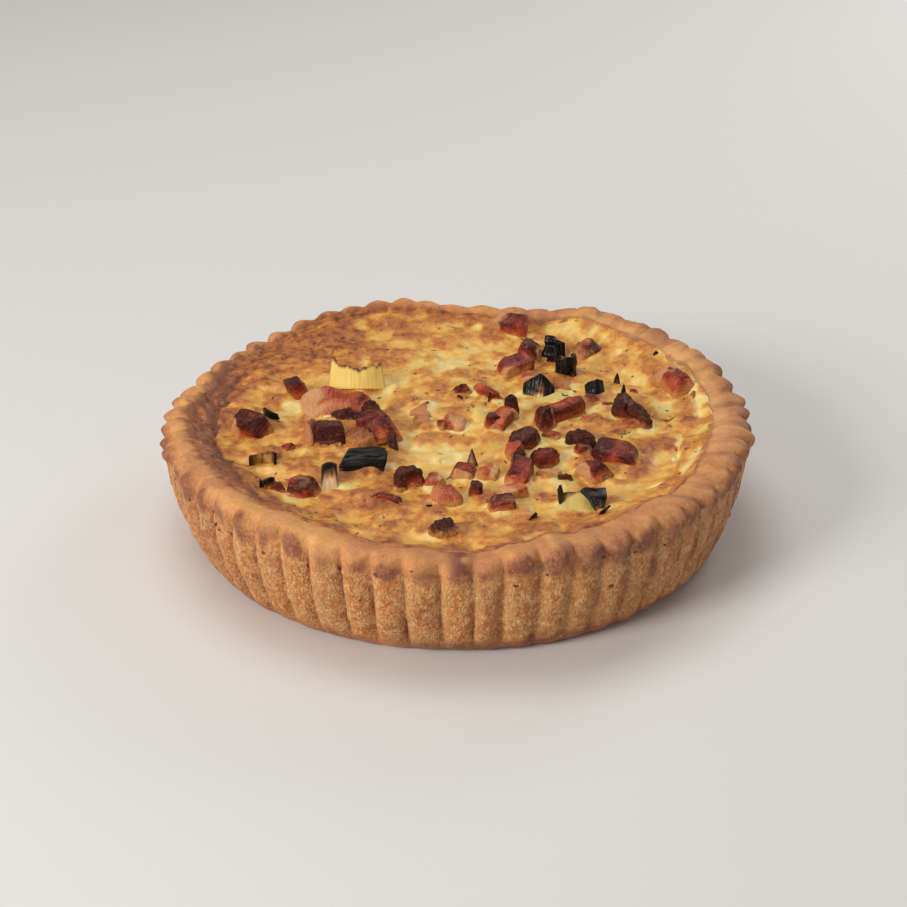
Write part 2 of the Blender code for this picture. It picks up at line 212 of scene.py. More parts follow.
@dataclass(frozen=True)
class Leaf:
    """A piece of leek that stands on edge, or lies like a roof tile. Millimetres and degrees."""

    width: float
    wall: float
    rise: float
    opening: float  # how far round it curls
    turn: float = 0.0
    lean: float = 0.0
    char: float = 1.0
    reach: float = 3.0  # how far down the char goes, as a share of its rise
    ragged: float = 0.4
    taper: float = 0.0  # how much narrower its foot is
    hook: float = 0.0  # how far its top bends over
    slope: float = 0.0  # how much higher its left end is, as a share of its rise
    tile: bool = False
    blush: float = 0.0  # pinkish cream rather than yellow
    dip: float = 0.0  # how far its top sags in the middle, as a share of its rise
    peak: float = 0.0  # how far it narrows to a point
    ends: float = 0.0  # how much more its two ends have burnt
    green: float = 0.0


LEEK = {  # keyed by the piece's number
    1: Leaf(10.5, 1.0, 13.8, 140, 8, 16, 1.0, 3.0, 0.15, tile=True),
    2: Leaf(5.4, 0.9, 9.5, 14, 2, -46, 0.8, 0.7, 0.04, blush=1.0),
    3: Leaf(9.0, 1.0, 5.2, 210, 188, 0, 0.30, 2.5, 0.5, dip=0.5, ends=0.5),
    4: Leaf(4.6, 0.9, 3.8, 110, 30, 8, 0.9, 0.9, 0.8),
    5: Leaf(6.0, 0.9, 3.4, 60, -30, 24, 1.0, 2.0, 0.5, slope=-0.6),
    6: Leaf(8.0, 3.2, 6.6, 24, -8, -4, 1.0, 3.0, 0.15, slope=-0.25),
    7: Leaf(8.4, 1.3, 6.0, 170, 36, 4, 1.0, 3.0, 0.3, hook=24),
    8: Leaf(11.0, 1.2, 4.6, 80, -8, -34, 1.0, 1.8, 0.6, slope=-0.2, dip=-0.3, peak=0.45),
    9: Leaf(7.2, 1.1, 5.4, 90, 8, -20, 1.0, 2.0, 0.7, taper=0.2, hook=30, dip=0.1, slope=0.3, peak=0.2),
    10: Leaf(9.5, 0.9, 8.0, 60, 16, -38, 0.9, 1.6, 0.4, taper=0.9, hook=35),
    11: Leaf(3.2, 0.9, 6.0, 60, 60, -10, 1.0, 1.6, 0.5),
    12: Leaf(19, 0.8, 8.8, 84, 2, -34, 0.34, 0.24, 0.8, taper=-0.10, slope=-0.30, dip=0.48),
}
SCRAPS = (  # small scraps that lie on the custard: x, y and the cut
    (-39.5, 2.5, Cut(12, 3.0, 5.0, -28, char=0.75, tone=0.1, rough=1.6, square=3, facets=3, taper=0.4, curl=24, coat=0)),
    (-31.5, 6.5, Cut(7.5, 2.8, 5.4, -40, char=0.98, tone=0.1, curl=-26, rough=1.2)),
    (-22.8, -14.5, Cut(9.5, 3.0, 5.2, -78, char=0.98, tone=0.1, curl=-20, rough=1.0)),
    (-52.8, -12.0, Cut(12, 2.8, 7.0, 84, char=0.0, tone=0.8, fat=0.5, curl=-110, rough=0.15, square=3, facets=0, coat=0.1)),
    (-34, -15, Cut(12, 11, 5.4, 30, char=0.02, tone=0.5, fat=0.2, square=3, rough=1.9, coat=2.2)),
    (-42, -17, Cut(5, 4, 1.8, -60, char=0.2, tone=0.4, rough=1.4)),
    (-59.3, -19.4, Cut(5.4, 2.6, 1.8, 42, char=0.1, tone=0.35)),
    (-12, 12, Cut(3, 13, 0.7, -18, char=0.0, tone=0.75, coat=0.9, curl=60)),
    (-17.8, 17.5, Cut(5, 2.4, 0.6, -10, char=0.4, tone=0.5, coat=0.5)),
    (65, 25.4, Cut(3.4, 2, 0.9, -10, char=0.15, tone=0.4)),
    (37.2, -40, Cut(6, 3, 2.0, 20, char=0.8, tone=0.3, curl=50)),
    (-60.8, -48.6, Cut(5.5, 5.0, 3.0, 10, char=0.30, tone=0.42, rough=1.2, square=4)),
    (-56, -52.2, Cut(4.4, 3, 2.4, 20, char=0.0, tone=0.8, fat=0.2, square=3, rough=0.8)),
    (11.7, 86.4, Cut(6, 5, 0.8, 10, char=0.0, tone=0.8, coat=0.6)),
    (65.5, 1.5, Cut(11, 6, 6.0, -62, char=0.7, char_way=90, tone=0.35, fat=0.05, square=4, rough=1.2)),
    (62.0, -1.5, Cut(8, 4, 2.0, 14, char=0.1, tone=0.75, fat=0.3, coat=0.4)),
    (33.3, -9.6, Cut(6.5, 5, 1.8, -30, char=0.02, tone=0.72, fat=0.1)),
    (20.6, -23.5, Cut(7, 6, 4.0, 20, char=0.02, tone=0.62, fat=0.12, square=5, coat=0.4)),
    (44.1, -21.6, Cut(7, 4.4, 2.4, -18, char=0.15, tone=0.3)),
    (48.9, 19.4, Cut(7.5, 4.4, 1.4, -56, char=0.25, tone=0.35, coat=0.3)),
    (54.7, 14.4, Cut(6, 1.4, 0.8, 24, char=0.05, tone=0.7, curl=60, coat=0.4)),
    (43.5, 11.6, Cut(4.8, 5.5, 5.2, 44, char=0.05, tone=0.3, square=8)),
    (86.2, 19.5, Cut(4, 2, 1.0, 60, char=0.2, tone=0.6, coat=0.6)),
    (-7.8, -37.5, Cut(4, 4, 1.2, char=0.0, tone=0.8, fat=0.2, coat=0.5)),
    (22.3, -30.0, Cut(5, 5.4, 5.4, 30, char=0.7, tone=0.2, taper=0.3, rough=1.2)),
    (19.5, 9.0, Cut(5.4, 4.8, 7.4, 40, char=0.75, tone=0.1, rough=0.8, square=2.6, facets=2)),
    (31.5, -1.0, Cut(6.5, 7, 7.2, 20, char=0.08, tone=0.06, square=6, facets=3, rough=0.6, taper=0.25)),
    (12.8, -2.5, Cut(5.5, 5, 4.6, 10, char=0.2, tone=0.16, square=8)),
    (-5.6, -1.5, Cut(5, 2.2, 3.4, -70, char=0.05, tone=0.35)),
)
STRAY_LEAVES = (  # loose leaves with no node of their own: x, y and the leaf
    (41.5, -57.5, Leaf(13, 0.7, 5.6, 44, -10, -60, 0.3, 0.5, 0.5, ends=0.5, green=0.45)),
    (5.2, -31.4, Leaf(4.2, 0.7, 6.4, 40, 0, -24, 0.5, 1.2, 0.1, peak=0.9, blush=0.7, green=0.2)),
    (8.0, 6.5, Leaf(5.5, 0.6, 3.6, 70, 30, -58, 0.0, 1.0, 0.8, peak=0.6, green=0.1)),
    (36, 18.0, Leaf(5, 0.6, 2.2, 60, -20, -64, 0.1, 1.0, 0.5, peak=0.5, green=0.3)),
)
# Slivers of leek: x, y, width, height, turn, lean, char.
SLIVERS = (
    (59.6, 34.8, 3.2, 4.0, 10, 6, 1.0), (73.0, 5.2, 9, 1.0, -24, 70, 0.3),
    (74.9, 50.4, 2.4, 1.8, 20, 20, 1.0), (25.8, -67.3, 4.6, 2.8, 40, 30, 0.8), (36.1, 20.5, 4.0, 1.0, -10, 60, 0.7),
    (60.9, 16.2, 3.6, 7.4, 10, 0, 1.0), (-64.7, -44.4, 7, 1.8, 6, -10, 0.9),
    (47.8, -65.0, 3.4, 5.0, 60, 50, 1.0), (37.0, 53.5, 8, 3.6, 6, 6, 1.0),
    (43.5, 38.6, 4, 3.4, 30, 10, 1.0), (-66.5, -48.5, 2.4, 3.0, 80, 6, 1.0), (1.0, 21.0, 4, 1.4, -50, 10, 0.9),
    (12.0, 19.0, 2.4, 3.4, 60, 10, 0.9), (-9.5, -59.2, 3.0, 0.9, 12, 50, 1.0),
)  # fmt: skip
CHIPS = (  # burnt chips on the wall: degrees round from +X, height, length, width, turn
    (-136, 32.5, 3.4, 1.3, -30), (-143, 35.5, 1.6, 1.2, 10), (-141.5, 32.5, 2.2, 1.4, 40),
    (-140.5, 31.2, 1.4, 0.8, 0), (-128, 31.5, 1.6, 0.9, 20), (-119, 31.0, 1.2, 0.9, 60),
    (-112, 33.8, 1.5, 0.9, -40), (-108, 22.5, 1.0, 0.7, 80), (-104.5, 34.4, 2.0, 1.0, -20),
    (-79.5, 31.0, 1.5, 1.2, 10), (-73.5, 33.6, 1.1, 0.8, 30), (-62.5, 35.6, 1.3, 0.8, -10),
    (-60.5, 23.5, 1.9, 1.1, 10), (-45, 33.0, 1.7, 0.9, 30), (-48.5, 32.0, 1.3, 1.0, -20),
    (-151, 34.0, 1.4, 0.8, 10), (-71.5, 17.0, 0.9, 0.6, 0), (-98, 37.5, 0.9, 0.6, 0),
    (-55.5, 33.6, 1.2, 0.7, 40), (-38, 35.0, 1.4, 0.8, 0), (30, 34.0, 1.4, 0.9, 0), (95, 32.5, 1.6, 1.0, 30),
    (150, 33.0, 1.3, 0.9, -20), (200, 34.0, 1.4, 0.8, 20), (62, 30.5, 1.1, 0.8, 50),
)  # fmt: skip

CAMERA_AT = (0.0, -0.7460, 0.4240)
CAMERA_LOOKS_AT = (0.0, 0.0, 0.0378)
CAMERA_LENS = 92.9
CAMERA_SHIFT = (-0.0039, -0.0346)


# ---------------------------------------------------------------------------------------------
# Numbers: noise, smooth steps and curves read round the circle.
# ---------------------------------------------------------------------------------------------


def lattice(ix, iy, iz, seed):
    """A repeatable number between -1 and 1 for each corner of a cubic lattice."""
    n = (ix * 374761393 + iy * 668265263 + iz * 1440662683 + seed * 974634777) & 0xFFFFFFFF
    n = ((n ^ (n >> 13)) * 1274126177) & 0xFFFFFFFF
    n = n ^ (n >> 16)
    return n / 2147483647.5 - 1.0


def noise(points, size, seed=0):
    """Smooth noise between -1 and 1, with lumps about as large as size."""
    scaled = np.asarray(points, dtype=float) / size
    cell = np.floor(scaled).astype(np.int64)
    t = scaled - cell
    t = t * t * t * (t * (t * 6 - 15) + 10)
    total = np.zeros(len(scaled))
    for dx in (0, 1):
        wx = t[:, 0] if dx else 1 - t[:, 0]
        for dy in (0, 1):
            wy = t[:, 1] if dy else 1 - t[:, 1]
            for dz in (0, 1):
                wz = t[:, 2] if dz else 1 - t[:, 2]
                corner = lattice(cell[:, 0] + dx, cell[:, 1] + dy, cell[:, 2] + dz, seed)
                total += wx * wy * wz * corner
    return total


def cloud(points, size, octaves=3, seed=0, keep=0.5):
    """Noise upon finer noise, still roughly between -1 and 1."""
    total = np.zeros(len(points))
    strength = 1.0
    whole = 0.0
    for octave in range(octaves):
        total += strength * noise(points, size / 2**octave, seed + octave * 17)
        whole += strength
        strength *= keep
    return total / whole * 1.6


def ridges(points, size, seed=0):
    """1 along thin winding lines and falling to 0 between them."""
    return 1 - np.minimum(1, np.abs(noise(points, size, seed)) * 3)


def smoothstep(low, high, value):
    t = np.clip((value - low) / (high - low), 0, 1)
    return t * t * (3 - 2 * t)


def bump_at(value, centre, width):
    """1 at centre, falling away smoothly on both sides."""
    return np.exp(-(((value - centre) / width) ** 2))


def round_the_clock(values, angle):
    """Reads a closed list of values, evenly spaced round the circle, as one smooth curve."""
    values = np.array(values, dtype=float)
    count = len(values)
    place = np.asarray(angle) / math.tau * count
    first = np.floor(place).astype(int)
    t = place - first
    before, here, after, beyond = (values[(first + k) % count] for k in (-1, 0, 1, 2))
    slope_here = (after - before) / 2
    slope_after = (beyond - here) / 2
    rise = after - here
    return (
        here
        + slope_here * t
        + (3 * rise - 2 * slope_here - slope_after) * t**2
        + (slope_here + slope_after - 2 * rise) * t**3
    )


def flat_points(x, y, z=0.0):
    return np.stack([x, y, np.zeros_like(x) + z], axis=1)


def spots(x, y, table):
    """Adds up soft round spots."""
    total = np.zeros_like(x)
    for spot_x, spot_y, reach, amount in table:
        total += amount * np.exp(-2 * ((x - spot_x) ** 2 + (y - spot_y) ** 2) / reach**2)
    return total


def inner_edge(angle):
    """The custard's edge: the case's inner radius, a little ragged."""
    ring = flat_points(np.cos(angle) * 90, np.sin(angle) * 90)
    return round_the_clock(INNER_RADIUS, angle) + 1.0 * cloud(ring, 9, 4, 5)


def crest_height(angle):
    ring = flat_points(np.cos(angle) * 100, np.sin(angle) * 100)
    return WALL_HEIGHT + round_the_clock(CREST_LIFT, angle) + 0.45 * noise(ring, 8, 15)


def lip_top(radius, angle):
    """Height of the lip's inner slope, which falls from its crest to the custard's edge."""
    fall = np.clip((CREST_RADIUS - radius) / (CREST_RADIUS - inner_edge(angle)), 0, 1.5)
    return crest_height(angle) - round_the_clock(INNER_DROP, angle) * fall**1.6


def crack_depth(x, y):
    """1 in the middle of a split in the custard and 0 away from it."""
    depth = np.zeros_like(x)
    wander = 0.8 * noise(flat_points(x, y), 4, 61)
    for ax, ay, bx, by, width in CRACKS:
        length = math.hypot(bx - ax, by - ay)
        along = np.clip(((x - ax) * (bx - ax) + (y - ay) * (by - ay)) / length**2, 0, 1)
        away = np.hypot(x - ax - along * (bx - ax), y - ay - along * (by - ay)) + wander
        taper = np.sqrt(np.clip(4 * along * (1 - along), 0.15, 1))
        depth = np.maximum(depth, 1 - smoothstep(0.3, 1.4, np.abs(away) / (width * taper)))
    return depth


def middle_of(node):
    low, high = (np.array(corner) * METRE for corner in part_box(node))
    return tuple((low[:2] + high[:2]) / 2)


def topping_feet():
    """Where the toppings meet the custard: x, y, half length, half width and turn."""
    feet = []
    for number, cut in BACON.items():
        feet.append((*middle_of(f"bacon_{number:02d}"), cut.length / 2, cut.width / 2, cut.turn))
    for number, leaf in LEEK.items():
        feet.append((*middle_of(f"leek_{number:02d}"), leaf.width / 2, leaf.wall, leaf.turn))
    for x, y, cut in SCRAPS:
        feet.append((x, y, cut.length / 2, cut.width / 2, cut.turn))
    return feet


FEET = topping_feet()


def near_topping(x, y):
    """1 under and against a topping, falling to 0 a few millimetres away."""
    near = np.zeros_like(x)
    for foot_x, foot_y, half_length, half_width, turn in FEET:
        reach = half_length + 5
        chosen = (np.abs(x - foot_x) < reach) & (np.abs(y - foot_y) < reach)
        if not chosen.any():
            continue
        cos, sin = math.cos(math.radians(turn)), math.sin(math.radians(turn))
        along = (x[chosen] - foot_x) * cos + (y[chosen] - foot_y) * sin
        across = (y[chosen] - foot_y) * cos - (x[chosen] - foot_x) * sin
        share = np.sqrt((along / half_length) ** 2 + (across / half_width) ** 2)
        gap = np.maximum(0, share - 0.9) * min(half_length, half_width)
        near[chosen] = np.maximum(near[chosen], np.exp(-((gap / 1.9) ** 2)))
    return near


def custard_surface(x, y):
    """Over plan points: the custard's height, how browned it is with painted shade and light along its edge, and how
    green and skinned it is.
    """
    flat = flat_points(x, y)
    angle = np.arctan2(y, x)
    radius = np.hypot(x, y)
    inward = inner_edge(angle) - radius
    warped = flat + 2.4 * np.stack([noise(flat, 9, 71), noise(flat, 9, 72), 0 * x], axis=1)
    bulge = cloud(warped, 17, 2, 1)
    puffs = np.sqrt(noise(warped, 10.5, 2) ** 2 + 0.015) - 0.30
    lumps = cloud(warped, 5.5, 2, 4)
    fine = cloud(flat, 2.0, 2, 3)
    blotch = cloud(flat, 7.5, 4, 9, 0.6)
    near = near_topping(x, y)
    split = crack_depth(x, y)

    # The wrinkled skin along the rim, darkest on the left, with its folds and the crease inside it.
    ragged = inward + 1.6 * noise(flat, 6, 41)
    width = round_the_clock(SKIN_WIDTH, angle)
    tone = np.clip(round_the_clock(SKIN_TONE, angle), 0, 1)
    skin = tone * smoothstep(width + 1.5, width - 1.5, ragged) * smoothstep(-1.0, 1.0, inward)
    dark = smoothstep(0.6, 0.95, tone)
    turned = np.arctan2(y, -x)
    unrolled = np.stack([turned * 88 + 0.5 * inward, inward * 0.3, 0 * x], axis=1)
    folds = skin * dark * (ridges(unrolled, 3.4, 6) + 0.6 * ridges(unrolled * 1.9, 3.4, 7) - 0.6)
    wrinkles = skin * (1 - dark) * ridges(np.stack([turned * 30, inward, 0 * x], axis=1), 2.2, 8)
    crease = dark * bump_at(ragged, width - 1.0, 1.2)
    seared = smoothstep(-0.1, -0.5, np.sin(angle)) * bump_at(ragged, 1.6, 2.0) * (0.7 + 0.5 * lumps)

    # Granular browned crust at the rear left.
    crusty = np.clip(spots(x, y, ((-66, 60, 22, 1.2), (-84, 38, 9, 1.0), (-46, 72, 14, 0.8))), 0, 1)
    crumbled = spots(x, y, CRUMBLED)
    grainy = (crusty + 2.0 * crumbled) * cloud(flat, 2.2, 2, 42)

    level = CUSTARD_LEVEL + spots(x, y, SWELLS)
    climb = smoothstep(17, 0.5, inward)
    height = level + climb * (lip_top(radius, angle) + 0.3 - level)
    calm = 1 - 0.8 * smoothstep(7, 0, inward)
    height += calm * (1.0 * bulge + 1.4 * puffs + 0.45 * lumps + 0.08 * fine + 0.35 * grainy)
    height += 1.7 * folds + 0.3 * wrinkles - 1.4 * crease + 0.5 * seared + 0.8 * near - 0.9 * split
    spilt = spots(x, y, SPILT) * (0.8 + 0.5 * lumps)
    height += spilt * (1.3 * ridges(flat * np.array([1, 2.2, 1]), 4.0, 9) - 0.2)
    height -= 2.2 * smoothstep(0.3, -1.3, inward)

    raised = 0.30 * bulge + 0.85 * puffs + 0.32 * lumps + 0.85 * blotch
    brown_and_shade = 0.19 + 0.50 * smoothstep(-0.6, 0.75, raised) + 0.04 * fine + 0.50 * spots(x, y, BROWNED)
    brown_and_shade += 0.15 * grainy - 0.24 * near * smoothstep(0.8, 0.3, brown_and_shade)
    # Painted shade: a dark line along the custard's edge, left off where the right front is sunlit.
    sunlit = smoothstep(0.3, 0.8, np.cos(angle)) * smoothstep(-0.5, -0.1, np.sin(angle))
    brown_and_shade += 0.34 * (1 - sunlit) * bump_at(inward, 0.3, 0.9)
    brown_and_shade += 0.44 * skin - 0.22 * folds + 0.15 * wrinkles
    # Painted shade in the crease.
    brown_and_shade += 0.4 * crease + 0.26 * seared + 0.5 * spilt + 0.37 * crusty - 0.07 * spots(x, y, ((2, 4, 50, 1.0),))
    brown_and_shade += 0.06 * smoothstep(-20, -60, y) + 0.10 * smoothstep(-50, -72, x)
    brown_and_shade = np.minimum(brown_and_shade, 0.80 + 0.4 * dark * skin)
    # Painted light: a paler band just inside the custard's right edge.
    brown_and_shade -= 0.20 * smoothstep(0.1, 0.9, x / 90) * bump_at(inward, 3.2, 3.2)
    green = np.clip(spots(x, y, GREENED), 0, 1) * smoothstep(0.7, 0.3, brown_and_shade)
    brown_and_shade = np.clip(brown_and_shade * (1 - 0.95 * split), 0, 1.2)
    tint = skin * dark * (0.75 - 0.5 * folds + 0.3 * grainy) + 0.5 * seared + 0.8 * spilt
    return height, brown_and_shade, green, np.clip(tint, 0, 1)


# ---------------------------------------------------------------------------------------------
# Meshes.
# ---------------------------------------------------------------------------------------------


def deselect():
    if bpy.context.object and bpy.context.object.mode != "OBJECT":
        bpy.ops.object.mode_set(mode="OBJECT")
    bpy.ops.object.select_all(action="DESELECT")


def edit(obj, *steps):
    """Runs edit-mode steps on all of obj."""
    bpy.context.view_layer.objects.active = obj
    bpy.ops.object.mode_set(mode="EDIT")
    bpy.ops.mesh.select_all(action="SELECT")
    for step in steps:
        step()
    bpy.ops.object.mode_set(mode="OBJECT")


def points_of(obj):
    """The object's vertices in millimetres."""
    flat = np.empty(len(obj.data.vertices) * 3)
    obj.data.vertices.foreach_get("co", flat)
    return flat.reshape(-1, 3) * METRE


def set_points(obj, points):
    obj.data.vertices.foreach_set("co", (points * MM).ravel())
    obj.data.update()


def paint(obj, name, values):
    """Stores one number, or one vector, for each vertex, for the material to read."""
    values = np.asarray(values, dtype=np.float32)
    if values.ndim == 1:
        layer = obj.data.attributes.new(name, "FLOAT", "POINT")
        layer.data.foreach_set("value", values)
    else:
        layer = obj.data.attributes.new(name, "FLOAT_VECTOR", "POINT")
        layer.data.foreach_set("vector", values.ravel())


def place(points, x, y, z, turn=0.0, lean=0.0):
    """Leans and turns a piece's points and moves them into the frame."""
    move = (
        Matrix.Translation((x, y, z))
        @ Matrix.Rotation(math.radians(turn), 4, "Z")
        @ Matrix.Rotation(math.radians(lean), 4, "X")
    )
    move = np.array(move)
    return points @ move[:3, :3].T + move[:3, 3]


def finish_piece(obj, name, material, nodes=()):
    """Names a piece, gives it its material and hangs it on the frame."""
    obj.name = name
    obj.data.name = name
    obj.data.materials.clear()
    obj.data.materials.append(material)
    obj.data.shade_smooth()
    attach(obj, "root")
    if nodes:
        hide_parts(*nodes)
    return obj


def join(objects):
    deselect()
    for obj in objects:
        obj.select_set(True)
    bpy.context.view_layer.objects.active = objects[0]
    bpy.ops.object.join()
    return bpy.context.object


# ---------------------------------------------------------------------------------------------
# Shader nodes.
# ---------------------------------------------------------------------------------------------


def add(tree, kind, inputs=None, **settings):
    """Adds one node, with its settings, and sets or links its inputs."""
    made = tree.nodes.new("ShaderNode" + kind)
    for name, value in settings.items():
        setattr(made, name, value)
    for key, value in (inputs or {}).items():
        if isinstance(value, bpy.types.NodeSocket):
            tree.links.new(value, made.inputs[key])
        else:
            made.inputs[key].default_value = value
    return made


def blend(tree, share, first, second, mode="MIX"):
    """Mixes two colours, given as sockets or as red, green and blue."""
    made = add(tree, "Mix", {0: share}, data_type="RGBA", blend_type=mode)
    for socket, colour in ((6, first), (7, second)):
        if isinstance(colour, bpy.types.NodeSocket):
            tree.links.new(colour, made.inputs[socket])
        else:
            made.inputs[socket].default_value = (*colour, 1.0)
    return made.outputs[2]


def maths(tree, operation, first, second=None, clamp=False):
    inputs = {0: first}
    if second is not None:
        inputs[1] = second
    return add(tree, "Math", inputs, operation=operation, use_clamp=clamp).outputs[0]


def spread(tree, value, low, high, to_low=0.0, to_high=1.0):
    """Maps a range of value smoothly onto another."""
    inputs = {"Value": value, 1: low, 2: high, 3: to_low, 4: to_high}
    made = add(tree, "MapRange", inputs, interpolation_type="SMOOTHSTEP")
    return made.outputs[0]


def ramp(tree, value, stops):
    made = add(tree, "ValToRGB", {0: value})
    while len(made.color_ramp.elements) < len(stops):
        made.color_ramp.elements.new(0.5)
    for element, (position, colour) in zip(made.color_ramp.elements, stops):
        element.position = position
        element.color = (*colour, 1.0)
    return made.outputs[0]


def attribute(tree, name, output="Fac"):
    return add(tree, "Attribute", attribute_name=name).outputs[output]


def new_group(name, numbers, outputs):
    """Starts a shader group with a vector input, number inputs and number outputs."""
    group = bpy.data.node_groups.new(name, "ShaderNodeTree")
    group.interface.new_socket("Vector", in_out="INPUT", socket_type="NodeSocketVector")
    for label, value in numbers.items():
        socket = group.interface.new_socket(label, in_out="INPUT", socket_type="NodeSocketFloat")
        socket.default_value = value
    for label in outputs:
        group.interface.new_socket(label, in_out="OUTPUT", socket_type="NodeSocketFloat")
    return group, group.nodes.new("NodeGroupInput"), group.nodes.new("NodeGroupOutput")


def crumb_group():
    """Fine baked grain: a light and dark mottle, its height, and sparse dark specks."""
    numbers = {"Size": 1200.0, "Specks": 420.0, "Speck Share": 0.12}
    group, entry, leave = new_group("Baked Grain", numbers, ("Mottle", "Height", "Specks", "Dusting", "Curls"))
    vector = entry.outputs["Vector"]
    fine = add(group, "TexNoise", {
        "Vector": vector, "Scale": entry.outputs["Size"], "Detail": 3.0, "Roughness": 0.6,
        "Distortion": 0.7,
    })
    broad = add(group, "TexNoise", {"Vector": vector, "Scale": 300.0, "Detail": 4.0})
    mottle = maths(group, "ADD", maths(group, "MULTIPLY", fine.outputs[0], 0.65),
                   maths(group, "MULTIPLY", broad.outputs[0], 0.35))
    cells = add(group, "TexVoronoi", {"Vector": vector, "Scale": entry.outputs["Specks"]})
    chosen = add(group, "SeparateColor", {0: cells.outputs["Color"]}).outputs
    picked = maths(group, "LESS_THAN", chosen[0], entry.outputs["Speck Share"])
    dusted = maths(group, "GREATER_THAN", chosen[1], 0.86)
    dot = spread(group, cells.outputs["Distance"], 0.06, 0.18, 1.0, 0.0)
    group.links.new(spread(group, mottle, 0.38, 0.62), leave.inputs["Mottle"])
    group.links.new(fine.outputs[0], leave.inputs["Height"])
    group.links.new(maths(group, "MULTIPLY", dot, picked), leave.inputs["Specks"])
    group.links.new(maths(group, "MULTIPLY", dot, dusted), leave.inputs["Dusting"])
    winding = add(group, "TexNoise", {"Vector": vector, "Scale": 470.0, "Detail": 1.0, "Distortion": 1.8})
    away = maths(group, "ABSOLUTE", maths(group, "SUBTRACT", winding.outputs[0], 0.5))
    line = spread(group, away, 0.0, 0.075, 1.0, 0.0)
    line = maths(group, "MULTIPLY", line, spread(group, broad.outputs[0], 0.42, 0.58))
    group.links.new(line, leave.inputs["Curls"])
    return group


def fibre_group():
    """Fine lines that run along the piece's second axis, as in meat and leaf."""
    group, entry, leave = new_group("Fibre", {"Fineness": 2200.0, "Length": 180.0}, ("Lines",))
    parts = add(group, "SeparateXYZ", {0: entry.outputs["Vector"]})
    across = maths(group, "MULTIPLY", parts.outputs[0], entry.outputs["Fineness"])
    along = maths(group, "MULTIPLY", parts.outputs[1], entry.outputs["Length"])
    deep = maths(group, "MULTIPLY", parts.outputs[2], entry.outputs["Fineness"])
    stretched = add(group, "CombineXYZ", {0: across, 1: along, 2: deep})
    lines = add(group, "TexNoise", {"Vector": stretched.outputs[0], "Scale": 1.0, "Detail": 3.0})
    group.links.new(spread(group, lines.outputs[0], 0.32, 0.68), leave.inputs["Lines"])
    return group


def place_group(tree, group, inputs):
    made = add(tree, "Group", node_tree=group)
    for key, value in inputs.items():
        if isinstance(value, bpy.types.NodeSocket):
            tree.links.new(value, made.inputs[key])
        else:
            made.inputs[key].default_value = value
    return made


def new_material(name, **constants):
    """A Principled material. Constants go on the shader's own sockets."""
    made = bpy.data.materials.new(name)
    made.use_nodes = True
    tree = made.node_tree
    shader = tree.nodes["Principled BSDF"]
    for key, value in constants.items():
        shader.inputs[key.replace("_", " ").title().replace("Ior", "IOR")].default_value = value
    return made, tree, shader


def connect(tree, shader, colour, roughness, height, depth):
    """Feeds colour, roughness and a bump of that depth, in metres, to the shader."""
    tree.links.new(colour, shader.inputs["Base Color"])
    tree.links.new(roughness, shader.inputs["Roughness"])
    bump = add(tree, "Bump", {"Height": height, "Strength": 1.0, "Distance": depth})
    tree.links.new(bump.outputs[0], shader.inputs["Normal"])


def object_vector(tree):
    return add(tree, "TexCoord").outputs["Object"]


def pastry_material(settings, grain):
    made, tree, shader = new_material("baked pastry", specular_ior_level=0.3)
    vector = object_vector(tree)
    upright = add(tree, "Mapping", {"Vector": vector, "Scale": (1.0, 1.0, 0.6)}).outputs[0]
    crumb = place_group(tree, grain, {"Vector": upright, "Size": 1150.0, "Speck Share": 0.04})
    wall, toast_and_shade, stain, pale = (attribute(tree, name) for name in ("wall", "toast_and_shade", "stain", "pale"))
    broad = add(tree, "TexNoise", {"Vector": vector, "Scale": 62.0, "Detail": 4.0}).outputs[0]
    smooth = ramp(tree, broad, ((0.34, settings.rosy), (0.5, settings.tan), (0.66, settings.golden)))
    flaky = ramp(tree, crumb.outputs["Mottle"], (
        (0.05, settings.shade), (0.45, settings.russet), (0.98, settings.flour_and_highlight),
    ))
    share = maths(tree, "ADD", maths(tree, "MULTIPLY", wall, 0.66), 0.24)
    colour = blend(tree, share, smooth, flaky)
    # pale carries the lip's paler edge and the painted highlights, laid in the floury colour.
    colour = blend(tree, maths(tree, "MULTIPLY", pale, 0.7), colour, settings.flour_and_highlight)
    curls = maths(tree, "MULTIPLY", crumb.outputs["Curls"], maths(tree, "ADD", maths(tree, "MULTIPLY", wall, 0.75), 0.06))
    colour = blend(tree, curls, colour, settings.flake)
    # toast_and_shade carries the browned spots and the painted shade on the flutes and under the lip.
    patchy = maths(tree, "MULTIPLY", toast_and_shade, spread(tree, crumb.outputs["Mottle"], 0.0, 1.0, 1.1, 0.75), clamp=True)
    colour = blend(tree, patchy, colour, settings.toasted_and_shaded)
    colour = blend(tree, stain, colour, settings.caught)
    colour = blend(tree, maths(tree, "MULTIPLY", crumb.outputs["Dusting"], 0.55), colour, settings.flake)
    colour = blend(tree, maths(tree, "MULTIPLY", crumb.outputs["Specks"], 0.8), colour, settings.char)
    height = maths(tree, "ADD", crumb.outputs["Height"], maths(tree, "MULTIPLY", curls, 0.4))
    height = maths(tree, "MULTIPLY", height, maths(tree, "ADD", maths(tree, "MULTIPLY", wall, 0.75), 0.35))
    rough = spread(tree, crumb.outputs["Mottle"], 0.0, 1.0, 0.5, 0.7)
    connect(tree, shader, colour, rough, height, 0.0009)
    return made


